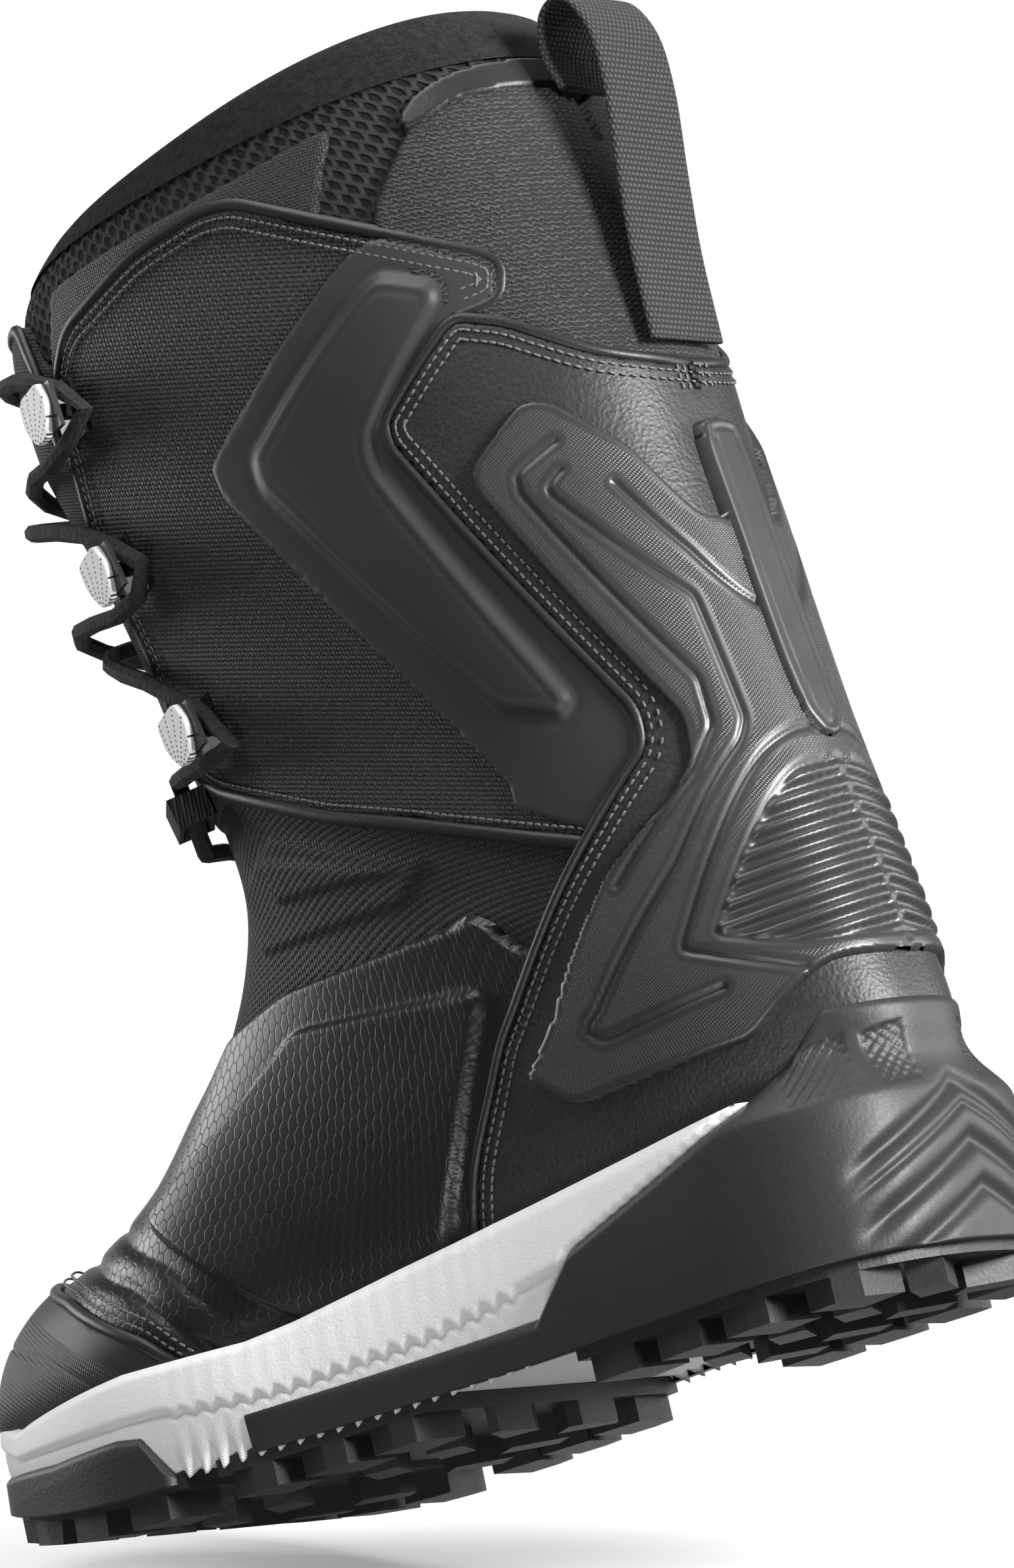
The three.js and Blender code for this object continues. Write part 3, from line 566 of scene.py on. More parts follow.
def knurled(name, dark, light, rough, pitch, depth, mask):
    # small diamonds from two crossing waves, where the mesh's mask is 1
    s = Shader(name, Specular_IOR_Level=0.5)
    u, v, _ = s.parts(s.place("UV", 1.0))
    a = ((u + v) * (math.pi / pitch)).sin().abs()
    b = ((u - v) * (math.pi / pitch)).sin().abs()
    bumps = a * b * s.attribute(mask)
    at = s.place("Object", 1.0)
    fine = s.noise(at, 2.2, 2)
    broad = s.noise(at, 0.07, 2)
    return s.finish(s.tint(bumps * 0.5 + broad * 0.5, dark, light),
                    rough + (broad - 0.5) * 0.1, bumps + fine * 0.18, depth)


def hexSatin(name="vamp_satin"):        # hexagon cells 3.6 mm wide pressed into a satin skin
    look = {"cell": 3.6, "dark": 0.006, "light": 0.012, "rough": 0.36}
    s = Shader(name, Specular_IOR_Level=0.4)
    u, v, _ = s.parts(s.place("UV", 1 / look["cell"]))
    wall = hexLines(u, v).band(0.0, 0.12)
    at = s.place("Object", 1.0)
    fine = s.noise(at, 1.8, 3)
    broad = s.noise(at, 0.05, 2)
    return s.finish(s.tint(wall * 0.55 + fine * 0.45, look["dark"], look["light"]),
                    look["rough"] + (1 - wall) * 0.1 + (broad - 0.5) * 0.12, wall + fine * 0.3, 0.055)


def rubber(name, dark, light, rough, depth=0.1):        # pebbled rubber
    s = Shader(name, Specular_IOR_Level=0.42)
    at = s.place("Object", 1.0)
    pebble = s.noise(at, 1.1, 4, 0.6)
    broad = s.noise(at, 0.05, 2)
    return s.finish(s.tint(pebble * 0.5 + broad * 0.5, dark, light), rough + (pebble - 0.5) * 0.16, pebble, depth)


def foam(name="midsole_foam"):          # white foam: grained above, fine knurl where the mesh says so, with painted shade in the knurl's hollows
    look = {"dark": 0.60, "light": 0.80, "rough": 0.55}
    s = Shader(name, Specular_IOR_Level=0.35)
    at = s.place("Object", 1.0)
    grain = s.noise(at, 1.3, 4, 0.6)
    u, v, _ = s.parts(s.place("UV", 1.0))
    knurl = ((u + v) * 4.2).sin().abs() * ((u - v) * 4.2).sin().abs()
    lower = s.attribute("lower")
    broad = s.noise(at, 0.04, 2)
    # random grain and broad tone, made darker in the knurl's hollows on the lower band: painted shade
    toneAndPaintedShade = 0.35 + grain * 0.3 + broad * 0.5 - lower * (1 - knurl) * 0.4
    return s.finish(s.tint(toneAndPaintedShade, look["dark"], look["light"]),
                    look["rough"], grain * (1 - lower) + knurl * lower * 0.8, 0.14)


def fleece(name="fleece"):              # short pile: clumps of fibre at two sizes
    s = Shader(name, Sheen_Weight=0.05, Sheen_Roughness=0.6, Specular_IOR_Level=0.08)
    at = s.place("Object", 1.0)
    clump = s.noise(at, 0.55, 4, 0.7)
    fibre = s.noise(at, 2.6, 3, 0.7)
    mixed = (clump * 0.6 + fibre * 0.4).band(0.35, 0.65)
    return s.finish(s.tint(mixed, 0.003, 0.022), 0.95, clump + fibre * 0.6, 1.2)


def waffle(name="waffle_knit"):         # knit with staggered pockets 4.4 by 3.4 mm; the ridges between stand up
    s = Shader(name, Sheen_Weight=0.02, Specular_IOR_Level=0.15)
    u, v, _ = s.parts(s.place("UV", 1.0))
    row = (v / 3.4).floor()
    a = ((u / 4.4 + row * 0.5) * math.pi).sin().abs()
    b = ((v / 3.4) * math.pi).sin().abs()
    pocket = (a * b).band(0.15, 0.75)
    yarn = s.noise(s.place("UV", 1.0), 1.7, 3, 0.6)
    ridge = 1 - pocket
    return s.finish(s.tint(ridge * 0.7 + yarn * 0.3, 0.005, 0.035), 0.85, ridge + yarn * 0.35, 0.9)


def jersey(name="jersey"):              # loose shiny knit: broken wavy loops across the cloth; the shiny loops are also painted lighter, a painted sheen
    s = Shader(name, Sheen_Weight=0.02, Specular_IOR_Level=0.5)
    u, v, _ = s.parts(s.place("UV", 1.0))
    at = s.place("UV", (0.8, 1.3, 1.0))
    wander = s.noise(at, 0.5, 3, 0.6)
    loops = ((v * 4.6 + wander * 9) + (u * 2.9).sin() * 0.9).sin() * 0.5 + 0.5
    grit = s.noise(s.place("UV", 1.0), 1.5, 3, 0.7)
    glossAndPaintedSheen = (loops * grit * 2).band(0.55, 1.1)
    # the shiny loops are made less rough and also painted lighter: a painted sheen
    return s.finish(s.tint(glossAndPaintedSheen, 0.003, 0.050), 0.62 - glossAndPaintedSheen * 0.25, loops * 0.6 + grit, 0.6)


def webbing(name, pitch, dark, light, source="UV"):  # broad ribs across with zigzag threads
    s = Shader(name, Specular_IOR_Level=0.3, Sheen_Weight=0.02)
    u, v, _ = s.parts(s.place(source, 1.0))
    ribs = (u / pitch * math.pi + ((v / 1.4).floor() * 0.5).fraction() * math.pi).sin().abs()
    rib = (v / 1.4 * math.pi).sin().abs()
    cloth = ribs * rib
    grit = s.noise(s.place(source, 1.0), 2.2, 2)
    return s.finish(s.tint(cloth * (0.5 + grit), dark, light), 0.72, cloth + grit * 0.3, 0.5)


def braid(name="lace_braid"):           # fuzzy round braid by object position
    s = Shader(name, Sheen_Weight=0.04, Specular_IOR_Level=0.15)
    at = s.place("Object", 1.0)
    cross = s.cells(at, 0.75)
    fuzz = s.noise(at, 2.0, 3, 0.7)
    return s.finish(s.tint(cross * 0.4 + fuzz * 0.6, 0.006, 0.05), 0.85, 1 - cross + fuzz * 0.5, 0.5)


def dotted(name="hook_plate_white"):    # white plate; dark dots on rays that fan out from its lower corner
    s = Shader(name, Specular_IOR_Level=0.4)
    u, v, _ = s.parts(s.place("UV", 1.0))
    x, y = u + 5.0, v + 9.0
    reach = (x * x + y * y).power(0.5)
    turn = y.math("ARCTAN2", x) * 4.2
    ring = (reach / 1.25).fraction() - 0.5
    ray = (turn.fraction() - 0.5) * (reach / 4.2)
    dot = (ring * ring * 1.4 + ray * ray).power(0.5).band(0.22, 0.36)
    fine = s.noise(s.place("Object", 1.0), 1.5, 2)
    return s.finish(s.tint(dot, 0.03, 0.72), 0.5 + fine * 0.1, fine, 0.05)


materials = {
    "leather": leather(),
    "ballistic": weave("ballistic_cloth", 1.25, 0.002, 0.06, 0.5, 0.66),
    "ripstop": weave("ripstop_cloth", 0.8, 0.010, 0.055, 0.2, 0.6),
    "tongueCloth": weave("tongue_cloth", 0.9, 0.012, 0.06, 0.3, 0.75),
    "gussetCloth": weave("gusset_cloth", 1.3, 0.004, 0.045, 0.4, 0.7, 0.7),
    "overlay": smoothPlastic("overlay_skin", 0.020, 0.028, 0.50, 1.6, 0.03),
    "trim": smoothPlastic("trim_tape", 0.008, 0.016, 0.45, 1.2, 0.08),
    "backstay": knurled("backstay_skin", 0.022, 0.040, 0.38, 1.0, 0.12, "knurl"),
    "toeRubber": knurled("toe_rubber", 0.013, 0.022, 0.55, 1.3, 0.12, "knurl"),
    "vamp": hexSatin(),
    "cup": rubber("heel_rubber", 0.014, 0.026, 0.5, 0.09),
    "tread": rubber("tread_rubber", 0.012, 0.028, 0.5, 0.14),
    "foam": foam(),
    "fleece": fleece(),
    "waffle": waffle(),
    "jersey": jersey(),
    "webbing": webbing("pull_webbing", 1.5, 0.006, 0.058),
    "ribbon": webbing("guide_ribbon", 0.9, 0.008, 0.05, "Object"),
    "braid": braid(),
    "hook": smoothPlastic("hook_plastic", 0.012, 0.02, 0.3, 1.0, 0.04),
    "plate": dotted(),
    # the stitch thread is a mid grey, lighter than the black around it, to stand for the highlights on the stitches: a
    # painted highlight
    "thread": smoothPlastic("stitch_thread_painted_highlight", 0.05, 0.14, 0.38, 3.0, 0.1),
    "board": rubber("board_fibre", 0.05, 0.09, 0.7, 0.1),
    "lining": weave("lining_cloth", 1.2, 0.01, 0.04, 0.3, 0.85, 0.0, "Object"),
}
print("materials", len(materials))


# How pieces join the frame


def dress(obj, material, body, replaced=()):
    # A piece's material, body and the CAD nodes it stands for. A piece for both bodies, across the ankle, is baked in
    # place and given to neither.
    obj.data.materials.clear()
    obj.data.materials.append(materials[material])
    if body == "both":
        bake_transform(obj)
    else:
        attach(obj, body)
    if replaced:
        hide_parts(*replaced)
    return obj


def plain(top, under, radius):          # a flat sheet with a rolled edge
    return lambda base, flat, dist: (rolled(dist, top, under, radius), {})


def lineDistance(base, points, side=0, radius=3.0, closed=False):
    # Distance to a side-view line laid on the boot; side 0 means the nearer of both sides
    best = None
    for s in ((side,) if side else (-1, 1)):
        curve = sideCurve(points, s, radius, closed)
        d = toLine(base, outside(curve[:, 0], curve[:, 1]), closed)
        best = d if best is None else np.minimum(best, d)
    return best


def insideOf(flat, points, radius=3.0):         # 1 for points of the boot inside a side-view ring, either side
    folded = np.stack([flat[:, 0], np.abs((flat[:, 1] + math.pi) % (2 * math.pi) - math.pi)], 1)
    ring = sideCurve(points, 1, radius, True)
    return isInside(folded, ring)


def raised(base, flat, points, height, width, radius=3.0, side=0):
    # A pad inside a ring: its wall rises over width
    d = lineDistance(base, points, side, radius, True)
    signed = np.where(insideOf(flat, points, radius), d, -d)
    return height * smooth(signed, -width / 2, width / 2), signed


def groove(distance, depth, width):     # a rounded channel where the distance to a line is small
    return -depth * np.exp(-((distance / width) ** 2) * 2)


def shifted(points, dx, dz):            # a side-view line moved as a whole
    return [(x + dx, z + dz) for x, z in points]


quarterFront = [(28, 24), (30, 41), (39, 58), (48, 71), (56, 84), (64, 92), (85, 113), (95, 122),
                (113, 138), (113, 147), (71, 225), (71, 231), (93, 250)]
quarterTop = [(93, 250), (104, 245), (119, 233), (132, 226)]
vampTop = [(-92, 86), (-73, 89), (-51, 103), (-40, 113), (-13, 117), (45, 115), (54, 116), (61, 111), (66, 104)]
toeCapTop = [(-170, 74), (-123, 71), (-96, 61), (-64, 43), (-50, 30)]
soleTop = np.array([(-170, 46), (-146, 42), (-119, 34), (-70, 36), (-31, 34), (-17, 35), (15, 39), (44, 42),
                    (119, 49), (170, 52)], float)
flapTop = [(-37, 266), (-35, 280), (-26, 290), (-13, 293), (5, 298), (29, 300), (40, 298), (58, 288),
           (78, 277), (101, 264), (105, 260), (104, 251)]
flapBottom = [(95, 119), (93, 121), (80, 126), (43, 141), (19, 150), (-22, 169)]
flapFront = [(-33, 178), (-34, 206), (-39, 242)]
padShape = [(78, 265), (90, 259), (90, 255), (66, 229), (66, 221), (99, 154), (96, 151), (81, 157), (31, 229),
            (31, 236), (74, 264)]
overlayShape = [(78, 276), (100, 263), (104, 259), (103, 252), (97, 249), (76, 233), (75, 225), (118, 147), (118, 138),
                (98, 120), (94, 124), (76, 134), (77, 140), (17, 230), (15, 239), (70, 274)]
vampPad = [(54, 97), (-10, 105), (-66, 74), (-20, 37), (23, 42), (36, 63)]
backstayFront = [(165, 180), (129, 188), (121, 209), (110, 223), (104, 225), (90, 213), (90, 207), (122, 142), (122, 131),
                 (117, 125), (98, 112), (81, 94), (73, 84), (61, 73), (72, 64), (76, 63), (123, 65), (141, 78), (165, 77)]
counterTop = [(165, 66), (143, 68), (135, 57), (119, 49), (96, 41), (65, 31), (52, 18)]


def hiddenSole(points, drop=6.0):       # the sole's top line at some x, lowered so that the sole hides the edge
    return [(x, float(np.interp(x, soleTop[:, 0], soleTop[:, 1])) - drop) for x in points]


def overFront(points, radius):          # one line from the medial to the lateral side, over the centre line
    half = sideCurve(points, 1, radius)
    return np.vstack([mirrored(half, True)[::-1][:-1], half])


# Vamp

vamp = {"top": -0.3, "edgeRadius": 2.4, "padHeight": 2.3, "step": 1.15}


def vampHeight(base, flat, dist):       # sheet + raised pad + two soft creases behind the toe cap
    pad, _ = raised(base, flat, vampPad, vamp["padHeight"], 2.2, 4.0)
    h = rolled(dist, vamp["top"], -4.5, vamp["edgeRadius"]) + pad
    for line, depth, width in (([(-120, 82), (-94, 81), (-58, 62), (-42, 46), (-32, 30)], 0.9, 3.0),
                               ([(-125, 79), (-100, 73), (-70, 59), (-58, 49), (-47, 36)], 1.3, 3.0)):
        d = lineDistance(base, line)
        h += groove(d, depth, width)
    return h, {}


ring = bothSides(vampTop + [(80, 100), (60, 60), (45, 34)] + hiddenSole((15, -17, -31, -44)) +
                 [(-56, 30), (-72, 41), (-102, 57), (-128, 64), (-170, 68)], True, 3.0)
dress(panel("vamp_shell", ring, vamp["step"], vampHeight), "vamp", "foot", ["vamp"])

# Toe cap and its binding

toeCap = {"top": 0.9, "grooveDepth": 0.5}


def toeHeight(base, flat, dist):        # sheet + step down to the smooth lower stripe
    d = lineDistance(base, shifted(toeCapTop, -5, -13))
    below = lineDistance(base, toeCapTop)
    knurl = smooth(below, 8, 9)
    return rolled(dist, toeCap["top"], -0.6, 1.2) + groove(d, toeCap["grooveDepth"], 0.9), {"knurl": knurl}


ring = bothSides(toeCapTop + hiddenSole((-56, -70, -95, -119, -135, -146), 7) + [(-149, 36)], True, 3.0)
dress(panel("toe_cap_skin", ring, 1.0, toeHeight), "toeRubber", "foot", ["toe_cap"])
whole = overFront(toeCapTop, 3.0)
dress(piping("toe_binding_tape", whole, 0.7, 1.6), "trim", "foot", ["toe_binding"])
for row, shift in enumerate((3.4, 6.0)):
    dress(seam(f"toe_stitch_{row}", whole, 1.05, -shift), "thread", "foot")

# Instep gusset and tongue

gusset = {"top": -3.6}
ring = bothSides([(-100, 215), (-30, 190), (0, 176), (110, 130), (100, 116), (64, 100), (40, 108), (-13, 108),
                  (-42, 100), (-70, 82), (-110, 76)], True, 3.0)


def gussetHeight(base, flat, dist):     # sheet + a hexagon patch with a raised ridge
    patch, _ = raised(base, flat, [(-8, 153), (44, 131), (33, 124), (-24, 129), (-30, 146)], 1.2, 2.0, 2.0)
    ridge, _ = raised(base, flat, [(-14, 149), (34, 132), (-12, 138)], 1.3, 2.0, 2.0)
    return gusset["top"] + patch + ridge, {}


dress(panel("gusset_cloth", ring, 1.4, gussetHeight), "gussetCloth", "both", ["instep_gusset"])

tongue = {"top": -2.2, "rise": 3.5}
ring = bothSides([(-100, 301), (-47, 301), (-39, 284), (-26, 288), (8, 290), (8, 166), (-24, 166), (-60, 160),
                  (-100, 158)], True, 6.0)


def tongueHeight(base, flat, dist):     # sheet that stands proud of the flaps towards its top
    front = 1 - smooth(base[:, 0] / along, -46, -33)
    lift = tongue["rise"] * smooth(base[:, 2] / upward, 236, 268) * front
    return rolled(dist, tongue["top"] + lift, -5.5, 3.0), {}


dress(panel("tongue_shell", ring, 1.6, tongueHeight), "tongueCloth", "shaft", ["tongue"])
tapeLine = overFront([(-100, 299), (-48, 299), (-40, 283), (-37, 262)], 5.0)
dress(piping("tongue_tape", tapeLine, 1.0, 1.7), "trim", "shaft")

# Leather quarter

quarter = {"top": 0.5, "edge": 1.6}
quarterEdge = [(165, 226)] + quarterTop[::-1] + quarterFront[::-1][1:]
ring = bothSides(quarterEdge + hiddenSole((34, 60, 90, 119, 165)), False, 3.5)
dress(panel("quarter_leather", ring, 1.4, plain(quarter["top"], -2.4, quarter["edge"])), "leather", "both",
      ["quarter_lower", "quarter_upper"])
half = sideCurve(quarterEdge, 1, 3.5)
whole = np.vstack([half[::-1], mirrored(half)[1:]])
dress(piping("quarter_edge_tape", whole, 0.1, 1.35), "trim", "both")
for row, shift in enumerate((3.0, 5.4)):
    dress(seam(f"quarter_stitch_{row}", whole, 0.72, shift), "thread", "both")

# Cuff flaps, overlays

flap = {"top": -1.3, "edge": 1.8, "padHeight": 1.9}
for side, name in ((-1, "lateral"), (1, "medial")):
    flapBack = [(93, 244), (82, 231), (81, 225), (123, 147), (123, 138), (104, 118)]
    ring = sideCurve(flapTop + flapBack + flapBottom[1:] + flapFront, side, 5.0, True)
    cloth = panel(f"flap_cloth_{name}", ring, 1.5, plain(flap["top"], -4.6, flap["edge"]))
    dress(cloth, "ballistic", "shaft", [f"cuff_flap_{name}"])
    edge = sideCurve([(-22, 169)] + flapFront + flapTop + [(93, 250)], side, 5.0)
    dress(piping(f"flap_tape_top_{name}", edge, flap["top"] - 0.3, 1.7), "trim", "shaft")
    low = sideCurve([(97, 117)] + flapBottom[1:] + [(-33, 178)], side, 4.0)
    dress(piping(f"flap_tape_low_{name}", low, flap["top"] - 0.3, 1.8), "trim", "shaft")
    for row, line, shift in (("top", edge, 3.2), ("top2", edge, 5.8), ("low", low, 3.2)):
        stitches = seam(f"flap_stitch_{row}_{name}", line, flap["top"] + 0.55, shift * side)
        dress(stitches, "thread", "shaft")

    def overlayHeight(base, flat, dist):        # sheet + the bent pad, whose rim has a fine groove
        pad, signed = raised(base, flat, padShape, flap["padHeight"], 3.4, 3.0, side)
        rim = groove(np.abs(signed - 3.0), 0.25, 0.8) + groove(np.abs(signed + 2.6), 0.2, 0.8)
        return rolled(dist, flap["top"] + 0.75, flap["top"] - 0.1, 0.7) + pad + rim, {}

    ring = sideCurve(overlayShape, side, 3.0, True)
    dress(panel(f"overlay_skin_{name}", ring, 1.1, overlayHeight), "overlay", "shaft",
          [f"cuff_overlay_{name}"])

# Backstay with grooves and ribs

backstay = {"top": 2.6, "groove": 0.9, "ribPitch": 4.6}
triangleLines = [
    [(109, 206), (106, 203), (106, 201), (127, 170), (132, 138), (131, 133), (115, 109), (87, 82), (82, 79),
     (86, 75), (120, 78)],
    [(118, 200), (127, 181), (137, 155), (139, 136), (134, 129), (112, 89), (137, 77)],
    [(109, 213), (100, 208), (100, 203), (126, 150), (127, 138), (122, 128), (100, 108)],
]
ribArea = [(160, 128), (139, 126), (120, 90), (136, 83), (160, 81)]


def backstayHeight(base, flat, dist):
    # plate + channels along the drawn lines + ribs across the Achilles triangle + smooth rims
    h = rolled(dist, backstay["top"], 0.2, 1.0)
    channels = np.full(len(base), 1e9)
    for line in triangleLines:
        channels = np.minimum(channels, lineDistance(base, line, 0, 1.5))
    h += groove(channels, backstay["groove"], 0.8)
    d = lineDistance(base, ribArea, 0, 2.0, True)
    signed = np.where(insideOf(flat, ribArea, 2.0), d, -d)
    wave = np.cos((base[:, 2] / upward + 0.18 * np.abs(base[:, 1])) / backstay["ribPitch"] * 2 * math.pi)
    h += smooth(signed, 0.3, 1.6) * (np.clip(wave * 1.4, -1, 1) * 0.9 - 0.5) + groove(np.abs(signed), 0.7, 0.9)
    rim = np.minimum(dist, channels)
    knurl = smooth(rim, 2.2, 2.8) * (1 - smooth(signed, -2.5, -1.5))
    return h, {"knurl": knurl}


ring = bothSides(backstayFront, False, 3.0)
dress(panel("backstay_skin", ring, 0.75, backstayHeight), "backstay", "shaft", ["backstay"])

spine = {"top": 4.4}


def spineHeight(base, flat, dist):      # a fin with flat middle and two fine grooves along its sides
    return rolled(dist, spine["top"], 0.4, 1.6) + groove(np.abs(dist - 3.2), 0.5, 0.5), {"knurl": np.zeros(len(base))}


spineEdge = [(0.0, 214), (6.0, 213), (7.2, 206), (7.2, 150), (6.4, 137), (3.0, 131), (0.0, 130)]
half = onSide(resample(rounded(spineEdge, 2.0, False), 1.0), 1, (1, 2))
ring = np.vstack([half, mirrored(half)[::-1]])
dress(panel("back_spine_fin", ring, 0.7, spineHeight), "backstay", "shaft", ["back_spine"])

# Sole

soleWidths = np.array([(-153, 0), (-151, 12), (-145, 26), (-134, 39), (-115, 50), (-90, 57), (-68, 58.5), (-40, 56.5),
                       (-10, 51), (20, 46.5), (50, 44), (85, 43), (115, 42.5), (135, 38), (147, 27), (152, 13), (153, 0)], float)


def roundRing(points, count):           # closed Catmull-Rom curve, equal steps
    n = len(points)
    t = np.linspace(0, n, n * 24, endpoint=False)
    i, f = t.astype(int), (t % 1)[:, None]
    a, b, c, d = (points[(i + k) % n] for k in (-1, 0, 1, 2))
    curve = 0.5 * (2 * b + (c - a) * f + (2 * a - 5 * b + 4 * c - d) * f**2 + (3 * b - a - 3 * c + d) * f**3)
    step = np.r_[0, np.cumsum(np.linalg.norm(np.diff(np.vstack([curve, curve[:1]]), axis=0), axis=1))]
    s = np.linspace(0, step[-1], count, endpoint=False)
    return np.stack([np.interp(s, step, np.r_[curve[:, k], curve[0, k]]) for k in (0, 1)], 1), s


def springAt(x):                        # the sole's underside curls up towards the toe
    return 16 * (np.maximum(-60 - x, 0) / 93) ** 2 * upward


foamLook = {"bottom": 10.2, "lip": 9.0, "tooth": 5.6, "toothDepth": 3.0}


def soleOutline(count):                 # the sole's plan, its outward directions and the length run
    upper = soleWidths[:-1] * [along, across]
    lower = (soleWidths[1:] * [along, -across])[::-1]
    plan, s = roundRing(np.vstack([upper, lower]), count)
    plan[:, 1] += swingAt(plan[:, 0])
    tangent = np.roll(plan, -1, 0) - np.roll(plan, 1, 0)
    tangent /= np.linalg.norm(tangent, axis=1, keepdims=True)
    out = np.stack([-tangent[:, 1], tangent[:, 0]], 1)
    center = plan.mean(0)
    out *= np.sign(((plan - center) * out).sum(1)).mean()
    return plan, out, s


def makeMidsole():
    # Wall rows from the bottom edge to the top rim, then over the rim under the upper. The wall's
    # lower half steps in behind a crease and carries saw teeth at its foot between the treads.
    plan, out, s = soleOutline(1000)
    x = plan[:, 0] / along
    top = np.interp(x, soleTop[:, 0], soleTop[:, 1]) * upward + 1.2
    teeth = np.abs((s / foamLook["tooth"]) % 1 - 0.5) * 2
    arch = smooth(x, -60, -52) * (1 - smooth(x, 44, 52))
    bottom = foamLook["bottom"] * upward + springAt(x) - arch * teeth * foamLook["toothDepth"]
    rows, uvRows, lowerRows = [], [], []
    cupLine = np.array(counterTop[::-1], float)
    lipCover = 5 * smooth(x, 112, 122)
    crease = np.interp(x, [-150, -120, -60, -20, 20, 60, 150], [0.75, 0.6, 0.55, 0.45, 0.42, 0.5, 0.5])
    for v in np.linspace(0, 1, 40):
        z = bottom + (top - bottom) * v
        bulge = 1.4 * math.sin(math.pi * v)
        lower = 1 - smooth(v, crease - 0.02, crease + 0.02)
        inward = -1.0 * lower - 2.6 * np.exp(-(((v - crease) / 0.03) ** 2)) * 0.4
        saw = arch * (1 - smooth(v, 0.0, 0.22)) * (teeth - 0.5) * foamLook["toothDepth"]
        rimRound = -1.6 * smooth(v, 0.9, 1.0) ** 2
        covered = smooth(x, 55, 60) * smooth(np.interp(x, cupLine[:, 0], cupLine[:, 1]) * upward - z, -0.6, 0.8)
        offset = bulge + inward + saw + rimRound - 0.8 - 6 * covered
        rows.append(np.c_[plan + out * offset[:, None], z])
        uvRows.append(np.c_[s, z])
        lowerRows.append(lower)
    for inset, drop in ((4, 0.2), (foamLook["lip"], 3.0), (14, 8.0)):
        rows.append(np.c_[plan - out * (inset + lipCover[:, None]), top - drop])
        uvRows.append(np.c_[s, top + inset])
        lowerRows.append(np.zeros(len(s)))
    bottomRows = []
    for k in np.linspace(0, 1, 16)[1:]:
        keep = plan * (1 - k) + np.c_[np.clip(plan[:, 0], -140, 140), np.zeros(len(x))] * k
        zb = foamLook["bottom"] * upward + springAt(keep[:, 0] / along)
        bottomRows.append(np.c_[keep, zb])
    points = np.concatenate([np.concatenate(bottomRows[::-1]), np.concatenate(rows)])
    uv = np.concatenate([np.concatenate([b[:, :2] for b in bottomRows[::-1]]), np.concatenate(uvRows)])
    lower = np.concatenate([np.zeros(len(s) * len(bottomRows)), np.concatenate(lowerRows)])
    faces = gridFaces(len(bottomRows) + len(rows), len(s), True)
    return newMesh("midsole_foam", points, [faces], {"lower": lower}, uv)


dress(makeMidsole(), "foam", "foot", ["midsole"])


def solePad(name, line, out, side):
    # A rubber skin over the sole's side wall from near its foot up to a top line, its rim rolled in
    x = np.linspace(line[0][0], line[-1][0], 130)
    top = np.interp(x, [q[0] for q in line], [q[1] for q in line]) * upward
    plan, outward, _ = soleOutline(1000)
    mine = plan[:, 1] * side > 0
    order = np.argsort(plan[mine][:, 0])
    place = plan[mine][order]
    y = np.interp(x * along, place[:, 0], place[:, 1])
    nx, ny = (np.interp(x * along, place[:, 0], outward[mine][order][:, k]) for k in (0, 1))
    v = np.linspace(0, 1, 30)[:, None]
    bottom = 7.2 * upward + springAt(x)
    z = bottom + np.maximum(top - bottom, 0.2) * v
    edge = np.minimum(np.minimum((top - z), (x - x[0])[None]), (x[-1] - x)[None])
    o = rolled(edge, out, -2.5, 2.2) - 0.06 * np.maximum(z - 18, 0)
    points = np.stack([x * along + nx * o, y + ny * o, z], -1)
    inner = points[0] - np.stack([nx * 14, ny * 14, 0 * nx], 1)
    points = np.concatenate([inner[None], points])
    uv = np.stack(np.broadcast_arrays(x[None], points[..., 2]), -1).reshape(-1, 2)
    faces = gridFaces(len(points), len(x))
    faces = faces if side > 0 else faces[:, ::-1]
    return dress(newMesh(name, points.reshape(-1, 3), [faces], None, uv), "tread", "foot")


guardTop = [(-146, 26), (-141, 28), (-128, 26), (-100, 23), (-74, 22.5), (-66, 21), (-60, 12), (-58, 9)]
for side, name in ((-1, "lateral"), (1, "medial")):
    solePad(f"forefoot_guard_{name}", guardTop, 1.3, side)

# Heel cup

cup = {"skin": 1.7, "bottom": 8.6, "center": 96.0, "reach": 2.74}


def upperRadius(phi, z):                # how far out the boot's skin is at a plan angle and height, round the heel
    l, a = np.meshgrid(np.linspace(5.5, 14.5, 200), np.linspace(-2.0, 2.0, 240), indexing="ij")
    p = outside(l.ravel(), a.ravel())
    px, py = p[:, 0] - cup["center"] * along, p[:, 1]
    r = np.hypot(px, py)
    data = np.stack([np.arctan2(py, px) * 45, p[:, 2]], 1)
    query = np.stack([phi.ravel() * 45, z.ravel()], 1)
    _, index = nearest(query, data)
    return r[index].reshape(phi.shape)


